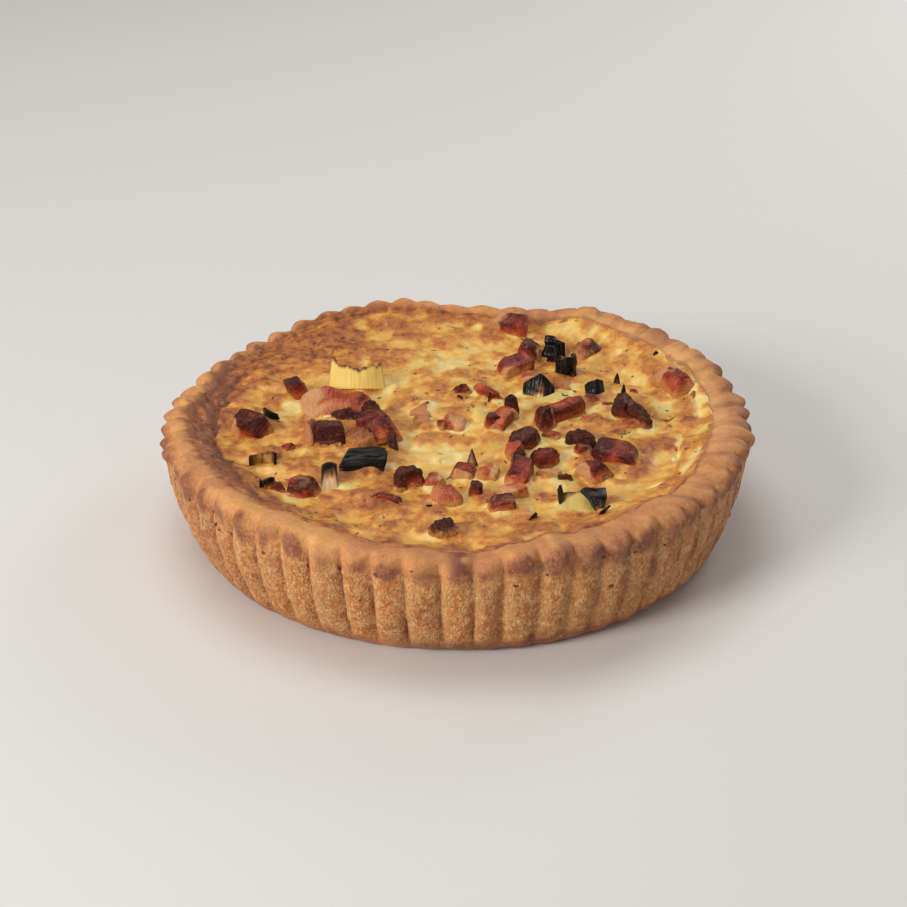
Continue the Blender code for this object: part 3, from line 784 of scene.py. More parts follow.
def custard_material(settings, grain):
    made, tree, shader = new_material(
        "baked custard", specular_ior_level=0.4, subsurface_weight=0.10, subsurface_scale=0.003
    )
    vector = object_vector(tree)
    crumb = place_group(tree, grain, {"Vector": vector, "Size": 850.0, "Speck Share": 0.03})
    # brown_and_shade carries browning together with the painted shade and light at the custard's edge.
    brown_and_shade, green, skin = (attribute(tree, name) for name in ("brown_and_shade", "green", "skin"))
    blotch = add(tree, "TexNoise", {"Vector": vector, "Scale": 300.0, "Detail": 5.0}).outputs[0]
    reach = spread(tree, brown_and_shade, 0.1, 0.6, 0.25, 1.0)
    uneven = maths(tree, "MULTIPLY", spread(tree, blotch, 0.28, 0.72, -0.20, 0.20), reach)
    uneven = maths(tree, "ADD", brown_and_shade, uneven)
    toned = ramp(tree, uneven, (
        (0.05, settings.pale), (0.23, settings.yellow), (0.42, settings.golden),
        (0.63, settings.orange), (0.84, settings.browned), (1.0, settings.dark),
    ))
    colour = blend(tree, maths(tree, "MULTIPLY", green, 0.75), toned, settings.leafy)
    colour = blend(tree, maths(tree, "MULTIPLY", skin, 0.6), colour, settings.skin)
    mottle = maths(tree, "MULTIPLY", maths(tree, "SUBTRACT", crumb.outputs["Mottle"], 0.58), 0.40)
    mottle = maths(tree, "ADD", maths(tree, "MULTIPLY", mottle, reach), 1.0)
    shade = add(tree, "CombineColor", {0: mottle, 1: mottle, 2: mottle}).outputs[0]
    colour = blend(tree, 1.0, colour, shade, "MULTIPLY")
    colour = blend(tree, maths(tree, "MULTIPLY", crumb.outputs["Specks"], 0.6), colour, settings.char)
    rough = spread(tree, uneven, 0.1, 0.9, 0.36, 0.55)
    height = maths(tree, "ADD", maths(tree, "MULTIPLY", crumb.outputs["Height"], maths(tree, "MULTIPLY", reach, 0.4)),
                   maths(tree, "MULTIPLY", blotch, maths(tree, "ADD", skin, 0.15)))
    connect(tree, shader, colour, rough, height, 0.0007)
    return made


def bacon_material(settings, fibre, grain):
    made, tree, shader = new_material(
        "fried bacon", specular_ior_level=0.22, coat_weight=0.08, coat_roughness=0.12,
        subsurface_weight=0.08, subsurface_scale=0.002,
    )
    meat = attribute(tree, "meat", "Vector")
    lines = place_group(tree, fibre, {"Vector": meat, "Fineness": 1300.0, "Length": 240.0})
    crumb = place_group(tree, grain, {"Vector": object_vector(tree), "Size": 1100.0})
    fat, char, tone, coat = (attribute(tree, name) for name in ("fat", "char", "tone", "coat"))
    streak = maths(tree, "MULTIPLY", lines.outputs[0], 0.2)
    toned = ramp(tree, maths(tree, "ADD", tone, maths(tree, "SUBTRACT", streak, 0.10)), (
        (0.0, settings.maroon), (0.25, settings.dark_red), (0.5, settings.red),
        (0.78, settings.coral), (1.0, settings.pink),
    ))
    colour = blend(tree, fat, toned, settings.fat)
    burnt = blend(tree, crumb.outputs["Mottle"], settings.charred, settings.scorched)
    colour = blend(tree, char, colour, burnt)
    patchy = maths(tree, "MULTIPLY", coat, spread(tree, crumb.outputs["Mottle"], 0.0, 1.0, 0.7, 1.2), clamp=True)
    colour = blend(tree, patchy, colour, settings.coating)
    worn = maths(tree, "ADD", maths(tree, "MULTIPLY", char, 0.7), maths(tree, "MULTIPLY", crumb.outputs["Mottle"], 0.25))
    rough = spread(tree, maths(tree, "ADD", worn, maths(tree, "MULTIPLY", coat, 0.4)), 0.0, 1.1, 0.28, 0.72)
    height = maths(tree, "ADD", maths(tree, "MULTIPLY", lines.outputs[0], 0.3),
                   maths(tree, "MULTIPLY", crumb.outputs["Height"], maths(tree, "ADD", char, 0.4)))
    connect(tree, shader, colour, rough, height, 0.0009)
    return made


def leek_material(settings, fibre):
    made, tree, shader = new_material("baked leek", specular_ior_level=0.25)
    leaf = attribute(tree, "leaf", "Vector")
    lines = place_group(tree, fibre, {"Vector": leaf, "Fineness": 1100.0, "Length": 60.0}).outputs[0]
    char, tone, blush = (attribute(tree, name) for name in ("char", "tone", "blush"))
    shade = blend(tree, blush, settings.leaf_shade, settings.cream_shade)
    light = blend(tree, blush, settings.leaf, settings.cream)
    green = blend(tree, tone, blend(tree, lines, shade, light), settings.leaf_green)
    black = blend(tree, spread(tree, lines, 0.45, 0.95), settings.char, settings.ash)
    sway = maths(tree, "MULTIPLY", maths(tree, "SUBTRACT", lines, 0.5), 0.22)
    sway = maths(tree, "MULTIPLY", sway, spread(tree, char, 0.0, 0.3))
    streaky = maths(tree, "ADD", char, sway)
    colour = blend(tree, spread(tree, streaky, 0.15, 0.5), green, settings.leaf_brown)
    share = spread(tree, streaky, 0.4, 0.75)
    colour = blend(tree, share, colour, black)
    rough = spread(tree, share, 0.0, 1.0, 0.45, 0.26)
    height = maths(tree, "MULTIPLY", lines, spread(tree, share, 0.0, 1.0, 0.3, 1.0))
    connect(tree, shader, colour, rough, height, 0.00024)
    return made


def plain_material(name, colour, second, roughness, grain):
    """A two-tone mottled finish for small things."""
    made, tree, shader = new_material(name)
    crumb = place_group(tree, grain, {"Vector": object_vector(tree), "Size": 900.0})
    toned = blend(tree, crumb.outputs["Mottle"], colour, second)
    rough = spread(tree, crumb.outputs["Mottle"], 0.0, 1.0, roughness - 0.08, roughness + 0.08)
    connect(tree, shader, toned, rough, crumb.outputs["Height"], 0.0003)
    return made


# ---------------------------------------------------------------------------------------------
# Settings.
# ---------------------------------------------------------------------------------------------


def colour_property(name, description, default):
    return FloatVectorProperty(
        name=name, description=description, default=default, subtype="COLOR", min=0.0, max=1.0
    )


def length_property(name, description, default):
    return FloatProperty(
        name=name, description=description, default=default * MM, unit="LENGTH", subtype="DISTANCE"
    )


class QuichePastrySettings(bpy.types.PropertyGroup):
    flutes: IntProperty(name="Flutes", description="Flutes round the case", default=58, min=8)
    columns: IntProperty(
        name="Columns per Flute", description="Mesh columns across one flute", default=14, min=4
    )
    flute_depth: length_property("Flute Depth", "How deep the grooves between flutes are", 1.7)
    grain_depth: length_property("Grain", "How rough the baked wall is", 0.16)
    golden: colour_property("Golden", "Well baked pastry", (0.76, 0.385, 0.125))
    tan: colour_property("Tan", "Paler pastry", (0.66, 0.295, 0.105))
    rosy: colour_property("Rosy", "Pastry with a pinkish bloom", (0.58, 0.24, 0.100))
    # Also the colour of the painted highlights on the flutes and the lip.
    flour_and_highlight: colour_property("Floury", "Light grains in the wall", (0.86, 0.475, 0.180))
    flake: colour_property("Flaky", "Thin light flakes in the wall", (0.88, 0.56, 0.265))
    russet: colour_property("Russet", "The wall's middle tone", (0.65, 0.250, 0.075))
    shade: colour_property("Shade", "Dark grains in the wall", (0.44, 0.132, 0.038))
    # Also the colour of the painted shade in the grooves and creases, under the lip and on the flutes' right flanks.
    toasted_and_shaded: colour_property("Toasted", "Spots that have caught", (0.26, 0.085, 0.046))
    caught: colour_property("Caught", "Dark skin along the inner edge", (0.23, 0.075, 0.042))
    char: colour_property("Char", "Burnt specks", (0.03, 0.015, 0.01))


class QuicheCustardSettings(bpy.types.PropertyGroup):
    cells: IntProperty(name="Cells", description="Mesh cells across the top", default=300, min=16)
    pale: colour_property("Pale", "Custard in the deepest dips", (0.88, 0.67, 0.25))
    yellow: colour_property("Yellow", "Set custard", (0.82, 0.475, 0.098))
    golden: colour_property("Golden", "Golden custard", (0.71, 0.320, 0.056))
    orange: colour_property("Orange", "Custard that starts to brown", (0.57, 0.210, 0.042))
    browned: colour_property("Browned", "Browned skin", (0.38, 0.115, 0.030))
    dark: colour_property("Dark", "The darkest skin", (0.15, 0.045, 0.014))
    leafy: colour_property("Leafy", "Custard over leek", (0.62, 0.47, 0.075))
    skin: colour_property("Skin", "Wrinkled skin at the edge", (0.49, 0.185, 0.085))
    char: colour_property("Flecks", "Dark flecks in the custard", (0.09, 0.06, 0.02))


class QuicheToppingSettings(bpy.types.PropertyGroup):
    cuts: IntProperty(name="Cuts", description="Cuts across each side of a piece", default=19, min=4)
    maroon: colour_property("Maroon", "The darkest lean", (0.060, 0.006, 0.004))
    dark_red: colour_property("Dark Red", "Dark lean", (0.20, 0.020, 0.009))
    red: colour_property("Red", "Lean", (0.42, 0.060, 0.024))
    coral: colour_property("Coral", "Lightly cooked lean", (0.60, 0.160, 0.055))
    pink: colour_property("Pink", "The palest lean", (0.63, 0.27, 0.12))
    fat: colour_property("Fat", "Fat", (0.70, 0.36, 0.15))
    charred: colour_property("Charred", "Burnt bacon", (0.022, 0.006, 0.004))
    scorched: colour_property("Scorched", "Bacon that is nearly burnt", (0.145, 0.034, 0.017))
    coating: colour_property("Coating", "Custard that clings to a piece", (0.60, 0.27, 0.075))
    leaf: colour_property("Leaf", "Pale leek", (0.93, 0.66, 0.19))
    leaf_shade: colour_property("Leaf Shade", "Lines in pale leek", (0.86, 0.56, 0.13))
    cream: colour_property("Cream", "Leek with no green in it", (0.78, 0.56, 0.33))
    cream_shade: colour_property("Cream Shade", "Lines in cream leek", (0.64, 0.38, 0.21))
    leaf_green: colour_property("Leaf Green", "Green leek", (0.30, 0.27, 0.05))
    leaf_brown: colour_property("Leaf Brown", "Browned leek", (0.26, 0.11, 0.035))
    char: colour_property("Char", "Burnt leek", (0.004, 0.0025, 0.002))
    ash: colour_property("Ash", "Light lines on burnt leek", (0.028, 0.021, 0.017))
    herb: colour_property("Herb", "Dried herb", (0.13, 0.115, 0.045))
    herb_dark: colour_property("Dark Herb", "Burnt herb", (0.05, 0.038, 0.018))


class QuicheStageSettings(bpy.types.PropertyGroup):
    floor: colour_property("Floor", "The floor", (0.78, 0.77, 0.75))
    key: FloatProperty(name="Key Light", description="Large soft light", default=11.0, unit="POWER")
    top: FloatProperty(name="Top Light", description="Light from above", default=4.0, unit="POWER")
    fill: FloatProperty(name="Fill Light", description="Light from the front", default=0.4, unit="POWER")
    back: FloatProperty(name="Back Light", description="Light from behind", default=2.0, unit="POWER")
    sky: FloatProperty(name="Sky", description="Even light from all round", default=0.25)


# ---------------------------------------------------------------------------------------------
# The pastry case.
# ---------------------------------------------------------------------------------------------

CASE_SECTION = (  # radius and height, from the underside out, up the wall and over the lip
    (86.0, 0.0, "VECTOR"),
    (91.2, 0.0, "VECTOR"),
    (94.2, 2.0, "AUTO"),
    (97.7, 8.5, "AUTO"),
    (100.5, 16.0, "AUTO"),
    (102.4, 23.5, "AUTO"),
    (103.5, 30.0, "AUTO"),
    (104.0, 34.6, "AUTO"),
    (103.5, 38.2, "AUTO"),
    (CREST_RADIUS, 40.2, "AUTO"),
    (96.5, 39.6, "AUTO"),
    (92.0, 37.9, "AUTO"),
    (89.5, 33.0, "VECTOR"),
    (87.0, 4.0, "VECTOR"),
)
LIP_HEIGHT = 40.2
LIP_END_RADIUS = 92.0
LIP_END_HEIGHT = 37.9
SECTION_STEPS = 9


def draw_section():
    """The case's cross-section: a curve in the XZ plane, made a mesh of edges."""
    deselect()
    bpy.ops.curve.primitive_bezier_curve_add(location=(0, 0, 0))
    curve = bpy.context.object
    spline = curve.data.splines[0]
    spline.bezier_points.add(len(CASE_SECTION) - len(spline.bezier_points))
    for knot, (radius, height, handle) in zip(spline.bezier_points, CASE_SECTION):
        knot.handle_left_type = handle
        knot.handle_right_type = handle
        knot.co = (radius * MM, 0, height * MM)
    spline.resolution_u = SECTION_STEPS
    curve.data.resolution_u = SECTION_STEPS
    bpy.ops.object.convert(target="MESH")
    return bpy.context.object


def spin_case(settings):
    """Spins the section into a closed case."""
    case = draw_section()
    steps = settings.flutes * settings.columns
    edit(
        case,
        lambda: bpy.ops.mesh.spin(
            steps=steps, angle=math.tau, center=(0, 0, 0), axis=(0, 0, 1), use_auto_merge=True
        ),
        lambda: bpy.ops.mesh.select_all(action="SELECT"),
        lambda: bpy.ops.mesh.remove_doubles(threshold=0.00001),
        lambda: bpy.ops.mesh.select_all(action="DESELECT"),
        lambda: bpy.ops.mesh.select_non_manifold(),
        lambda: bpy.ops.mesh.fill_holes(sides=0),
        lambda: bpy.ops.mesh.select_all(action="SELECT"),
        lambda: bpy.ops.mesh.normals_make_consistent(inside=False),
    )
    return case


def wall_radius(height):
    t = height / WALL_HEIGHT
    return BASE_RADIUS + (RIM_RADIUS - BASE_RADIUS) * t + WALL_BELLY * 4 * t * (1 - t)


def shape_case(case, settings):
    """Presses in the flutes, lets the lip rise and sag, and roughens the baked wall."""
    points = points_of(case)
    radius = np.hypot(points[:, 0], points[:, 1])
    height = points[:, 2]
    angle = np.arctan2(points[:, 1], points[:, 0])
    unit = np.stack([np.cos(angle), np.sin(angle), np.zeros_like(angle)], axis=1)
    ring = unit * 100
    on_wall = ring + np.stack([0 * height, 0 * height, height], axis=1)

    outer = smoothstep(-5.0, -1.2, radius - wall_radius(height))
    lip = smoothstep(32.0, 38.0, height)
    right = smoothstep(-0.2, 0.9, unit[:, 0])
    left = smoothstep(0.25, -0.5, unit[:, 0])

    # Flutes: uneven in width, depth and lean, each with its own push in or out. On the left they
    # overlap like shingles, and on the right they are flatter, with a thin ridge between two.
    slant = 0.012 * noise(ring, 26, 11) * (height / WALL_HEIGHT - 0.5)
    wobble = 0.012 * noise(ring, 17, 12) + 0.004 * noise(on_wall, 9, 13) + slant
    turn = (angle + wobble) * settings.flutes / math.tau
    number = np.floor(turn).astype(np.int64)
    aside = turn - number - 0.5
    own, own_too, own_third = (lattice(number % settings.flutes, k, 5, 7) for k in (3, 4, 6))
    across = np.cos(aside * math.pi)
    flute_width = math.tau * CREST_RADIUS / settings.flutes
    lobe = across**0.7
    start = 38.6 - 2.2 * lobe + 1.8 * cloud(on_wall, 6, 2, 10)
    wall = outer * smoothstep(start + 1.0, start - 7.5, height)
    middle = bump_at(angle + 1.45, 0, 0.55)
    wall *= smoothstep(1.0 + 2.2 * middle, 6.0 + 2.2 * middle, height + 1.6 * noise(on_wall, 6, 9))
    foot_fade = 0.25 + 0.75 * smoothstep(1.0, 9.0, height)
    foot_fade = foot_fade + (1 - foot_fade) * 0.7 * right
    depth = settings.flute_depth * METRE * (1 + 0.25 * noise(ring, 30, 14) - 0.40 * right) * foot_fade
    groove = 1 - across**0.8
    seam = (np.abs(aside) - 0.5) * flute_width
    crease = bump_at(seam, 0, 0.55) * smoothstep(-0.3, 0.5, noise(on_wall, 11, 16)) * smoothstep(3, 7, height)
    fold = groove * depth * (1 - 0.2 * lip) + 0.7 * crease * (1 - lip) * (1 - right)
    fold -= 1.1 * bump_at(seam + 0.3 * noise(on_wall, 5, 18), 0, 0.5) * right * (1 - lip)
    shingle = -1.7 * aside * left * smoothstep(2, 8, height) * (1 - 0.6 * lip)
    lower_edge = 35.4 + 1.5 * noise(on_wall * np.array([1, 1, 0.2]), 3.5, 17)
    overhang = round_the_clock(OVERHANG, angle) * smoothstep(lower_edge, lower_edge + 1.2, height)
    dome = bump_at(aside * flute_width, 0, 4.0) * bump_at(height, 36.8 + 0.8 * own_too, 2.1)
    new_radius = radius - outer * fold + outer * shingle
    new_radius += outer * (overhang * (0.45 + 0.6 * lobe) + 1.4 * dome * (0.8 + 0.5 * own))
    new_radius += outer * 0.45 * own * smoothstep(2, 20, height)
    new_radius += outer * 0.8 * right * (lobe - 0.5) * (1 + 0.7 * own_third) * smoothstep(11, 3, height)

    # The lip's inner slope runs down to the custard's edge, then drops behind it.
    end = inner_edge(angle) - 1.5
    slope = (CREST_RADIUS - radius) / (CREST_RADIUS - LIP_END_RADIUS)
    inside = (radius < wall_radius(np.minimum(height, WALL_HEIGHT)) - 3.2) & (height > 2.0)
    on_slope = inside & (slope > 0)
    behind = inside & (slope > 1)
    new_radius = np.where(on_slope, CREST_RADIUS - np.minimum(slope, 1) * (CREST_RADIUS - end), new_radius)
    new_radius = np.where(behind, end + radius - LIP_END_RADIUS, new_radius)
    new_height = height + (crest_height(angle) - LIP_HEIGHT) * lip
    drop = lip_top(end, angle) - (LIP_END_HEIGHT - height)
    new_height = np.where(on_slope, lip_top(new_radius, angle), new_height)
    new_height = np.where(behind, np.maximum(drop, 2.0), new_height)

    # Each flute ends in a soft knuckle on the lip, with a fold running in between two of them.
    twist = aside + 0.30 * right * smoothstep(104, 94, new_radius) * np.sign(unit[:, 0])
    valley = 1 - np.abs(np.cos(twist * math.pi)) ** 0.7
    front = smoothstep(0.35, 0.8, -unit[:, 1])
    reach_in = smoothstep(end + 2 + 3.5 * front, 101.5 + 1.5 * front, new_radius) * lip
    notch = np.maximum(round_the_clock(FOLDS, angle) + 0.3 * own_too, 0.1)
    new_height -= reach_in * valley * notch
    new_radius -= reach_in * valley * 0.8 * notch
    new_height += 0.45 * own_third * lobe * reach_in

    # Dents, wrinkles low on the wall, and grain.
    dents = cloud(on_wall, 7, 3, 21)
    ripple_at = np.stack([ring[:, 0], ring[:, 1], height * 2.6], axis=1)
    low = smoothstep(28, 8, height) * smoothstep(-0.2, 0.4, noise(ring, 15, 22))
    ripple = cloud(ripple_at, 4.2, 2, 23) * (0.25 + 0.75 * low)
    grain = cloud(on_wall, 1.7, 2, 24)
    push = wall * (0.30 * dents + 0.65 * ripple + settings.grain_depth * METRE * grain)
    lumps = cloud(on_wall, 6, 3, 25)
    push += 0.30 * lumps * lip
    new_radius += push * outer
    swollen = 0.9 * right * cloud(ring, 15, 2, 28)
    new_height += lip * (0.28 * lumps + swollen + 0.30 * right * cloud(on_wall, 2.4, 2, 27)) * ~behind
    new_radius += 0.6 * cloud(ring, 12, 2, 26) * smoothstep(4, 0, height) * outer
    new_height = np.where(height < 0.3, 0.0, np.maximum(new_height, 0.15))

    shaped = unit * new_radius[:, None]
    shaped[:, 2] = new_height
    shaped[:, 1] *= CASE_HIGH[1] / max(CASE_HIGH[1], np.abs(shaped[:, 1]).max() - 1.2)
    set_points(case, shaped)

    # Where it has browned: a blotch on each knuckle, the foot and broad patches. Painted shade darkens
    # the grooves, the creases, a band under the lip and each flute's right flank.
    patch_reach = 4.3 + 0.6 * own
    patch = np.hypot(aside * flute_width / patch_reach, (height - 36.2 - 1.0 * own_too) / (0.9 * patch_reach))
    patch += 0.5 * cloud(on_wall, 4.2, 3, 31)
    strength = 0.74 + 0.22 * smoothstep(-0.6, 0.8, own_third) - 0.4 * (unit[:, 1] > 0)
    blotch = smoothstep(1.4, 0.2, patch) * strength
    core = smoothstep(0.55, 0.15, patch + 0.5 * cloud(on_wall, 1.7, 2, 39)) * smoothstep(-0.2, 0.4, own_third)
    blotch += 0.45 * core
    # Painted shade: a darker band under the lip's overhang, stronger on the right.
    under = smoothstep(30.5, 34, height) * smoothstep(38.2, 35.5, height) * smoothstep(0.0, 0.7, noise(on_wall, 6, 37))
    foot = smoothstep(7.5 + 1.5 * middle, 2.0 + 2.0 * middle, height) * smoothstep(-0.9, 0.1, noise(ring, 22, 36) + 0.5 * unit[:, 0] - 0.3 * unit[:, 1])
    # Painted shade on each flute's right flank and painted light on its left edge, as light from the left falls.
    shaded = wall * smoothstep(0.0, 0.42, aside)
    lit = wall * smoothstep(-0.10, -0.36, aside) * smoothstep(-0.5, -0.44, aside)
    broad = smoothstep(0.1, 0.7, cloud(on_wall, 11, 3, 32))
    # Browning on the knuckles, the foot and broad patches, with painted shade in the grooves and under the lip.
    toast_and_shade = outer * (blotch + (0.3 + 0.4 * right) * under + (0.6 + 0.3 * middle) * foot + 0.22 * groove * wall + 0.25 * broad * wall)
    toast_and_shade += outer * (0.20 * shaded - 0.25 * lit)
    # Painted shade in the creases.
    toast_and_shade += 0.5 * crease * wall
    toast_and_shade += 0.30 * lip * reach_in * smoothstep(0.1, 0.7, cloud(ring, 14, 3, 33))
    # Darker in the valleys between the knuckles on the right.
    toast_and_shade += 0.25 * valley * reach_in * right
    rosy = smoothstep(-0.4, 0.5, cloud(on_wall, 4.5, 3, 40)) * smoothstep(-0.1, 0.5, unit[:, 0])
    toast_and_shade += 0.42 * rosy * smoothstep(35, 38, height)

    past_edge = new_radius - inner_edge(angle)
    turned = np.degrees(np.arctan2(unit[:, 1], -unit[:, 0]))
    left = smoothstep(-60, -25, turned) * smoothstep(78, 58, turned)
    reach = 1.3 + 2.4 * left + 1.0 * smoothstep(0.2, 0.9, cloud(ring, 9, 3, 34))
    crimped = np.stack([turned * 1.55, past_edge * 0.3, 0 * turned], axis=1)
    broken = 0.25 - 0.5 * left * ridges(crimped, 3.4, 42) + 0.35 * cloud(flat_points(new_radius * unit[:, 0], new_radius * unit[:, 1]), 2.6, 3, 41)
    stain = smoothstep(1.0, 0.0, past_edge / reach + broken) * on_slope * (0.55 + 0.25 * left)
    spill = bump_at(points[:, 0], 1.5, 4.6) * (points[:, 1] < -80)
    spill *= smoothstep(36.0, 37.6, height) * smoothstep(-0.5, 0.4, cloud(on_wall, 3.0, 3, 35) + 0.3)
    edge_line = bump_at(height, lower_edge + 0.2, 0.5) * smoothstep(0.7, 1.3, round_the_clock(OVERHANG, angle))
    paint(case, "wall", wall)
    paint(case, "toast_and_shade", np.clip(toast_and_shade, 0, 0.95))
    paint(case, "stain", np.clip(stain + 1.1 * spill, 0, 1))
    # pale: a paler line along the lip's lower edge, with painted highlight on each flute's lit left edge and along the
    # thin ridges on the right.
    pale = edge_line * smoothstep(-0.1, 0.5, noise(on_wall, 3, 38))
    pale += 0.55 * lit * (1 - 0.6 * right) + 0.9 * wall * right * bump_at(seam, 0.1, 0.45)
    # Painted highlight on the lip's inner slope at the right front, where it is sunlit.
    sunlit = smoothstep(0.3, 0.8, unit[:, 0]) * smoothstep(-0.5, -0.1, unit[:, 1])
    pale = pale * outer + 0.7 * sunlit * on_slope * smoothstep(99.5, 95.0, new_radius)
    paint(case, "pale", np.clip(pale, 0, 1))


def make_chips(case, settings):
    """Small burnt flakes that stick to the wall, each laid on the nearest point of the case."""
    shaped = points_of(case)
    azimuth = np.degrees(np.arctan2(shaped[:, 1], shaped[:, 0])) % 360
    radius = np.hypot(shaped[:, 0], shaped[:, 1])
    model = block(3)
    chips = []
    for number, (around, height, length, width, turn) in enumerate(CHIPS):
        away = np.hypot(azimuth - around % 360, shaped[:, 2] - height) + 50 * (radius < 93)
        at = shaped[away.argmin()]
        chip = copy_of(model)
        unit = points_of(chip)
        unit /= ((np.abs(unit) ** 3).sum(axis=1) ** (1 / 3))[:, None]
        local = unit * np.array([length / 2, width / 2, 0.2])
        local += 0.35 * width * np.stack([noise(unit + number, 0.9, k) for k in (1, 2, 3)], axis=1) * [1, 1, 0.3]
        local = place(local, 0, 0, 0, turn)
        local = np.stack([local[:, 0], -local[:, 2], local[:, 1]], axis=1)
        set_points(chip, place(local, *at, around + 90))
        chips.append(chip)
    bpy.data.objects.remove(model)
    return join(chips)


# ---------------------------------------------------------------------------------------------
# The custard.
# ---------------------------------------------------------------------------------------------


def round_off(x, y):
    """Carries a square from -1 to 1 onto a disc of radius 1, keeping the cells' areas even."""
    wide = np.abs(x) > np.abs(y)
    safe_x = np.where(np.abs(x) < 1e-9, 1e-9, x)
    safe_y = np.where(np.abs(y) < 1e-9, 1e-9, y)
    radius = np.where(wide, x, y)
    angle = np.where(wide, math.pi / 4 * y / safe_x, math.pi / 2 - math.pi / 4 * x / safe_y)
    return radius * np.cos(angle), radius * np.sin(angle)


def make_custard_mesh(settings):
    """A fine grid rounded into a disc, with its edge drawn down and closed underneath."""
    deselect()
    bpy.ops.mesh.primitive_grid_add(
        x_subdivisions=settings.cells, y_subdivisions=settings.cells, size=2 * METRE * MM
    )
    custard = bpy.context.object
    grid = points_of(custard) / METRE
    disc_x, disc_y = round_off(grid[:, 0], grid[:, 1])
    angle = np.arctan2(disc_y, disc_x)
    share = np.hypot(disc_x, disc_y)
    radius = share * (inner_edge(angle) + 1.3)
    x = radius * np.cos(angle)
    y = radius * np.sin(angle)
    height, brown_and_shade, green, skin = custard_surface(x, y)
    set_points(custard, np.stack([x, y, height], axis=1))
    paint(custard, "brown_and_shade", brown_and_shade)
    paint(custard, "green", green)
    paint(custard, "skin", skin)
    for drop, inset in ((6.0, 0.985), (22.0, 0.95)):
        edit(
            custard,
            lambda: bpy.ops.mesh.select_all(action="DESELECT"),
            lambda: bpy.ops.mesh.select_non_manifold(),
            lambda: bpy.ops.mesh.extrude_region_move(TRANSFORM_OT_translate={"value": (0, 0, -drop * MM)}),
            lambda: bpy.ops.transform.resize(value=(inset, inset, 1)),
        )
    edit(
        custard,
        lambda: bpy.ops.mesh.select_all(action="DESELECT"),
        lambda: bpy.ops.mesh.select_non_manifold(),
        lambda: bpy.ops.mesh.fill_holes(sides=0),
        lambda: bpy.ops.mesh.select_all(action="SELECT"),
        lambda: bpy.ops.mesh.normals_make_consistent(inside=False),
    )
    return custard


# ---------------------------------------------------------------------------------------------
# Bacon and leek.
# ---------------------------------------------------------------------------------------------


def block(cuts):
    """A cube of side 2 mm, cut into a grid on each side."""
    deselect()
    bpy.ops.mesh.primitive_cube_add(size=2 * MM)
    cube = bpy.context.object
    edit(cube, lambda: bpy.ops.mesh.subdivide(number_cuts=cuts))
    return cube


def copy_of(model):
    """A copy of a modelled piece, with its own mesh."""
    made = model.copy()
    made.data = model.data.copy()
    bpy.context.scene.collection.objects.link(made)
    return made


def facet(points, count, seed):
    """Slices flat faces off a shape by pressing what stands past each plane onto it."""
    dice = random.Random(seed)
    for _ in range(count):
        way = Vector((dice.uniform(-1, 1), dice.uniform(-1, 1), dice.uniform(-0.1, 0.9))).normalized()
        reach = points @ np.array(way)
        limit = reach.max() * dice.uniform(0.68, 0.9)
        points = points - np.maximum(reach - limit, 0)[:, None] * np.array(way)
    return points


def bend(points, across, degrees, length):
    """Curves a piece along X towards another of its axes, by so many degrees over its length."""
    if not degrees:
        return points
    radius = length / math.radians(degrees)
    swing = points[:, 0] / radius
    curved = points.copy()
    curved[:, 0] = (radius - points[:, across]) * np.sin(swing)
    curved[:, across] = radius - (radius - points[:, across]) * np.cos(swing)
    return curved


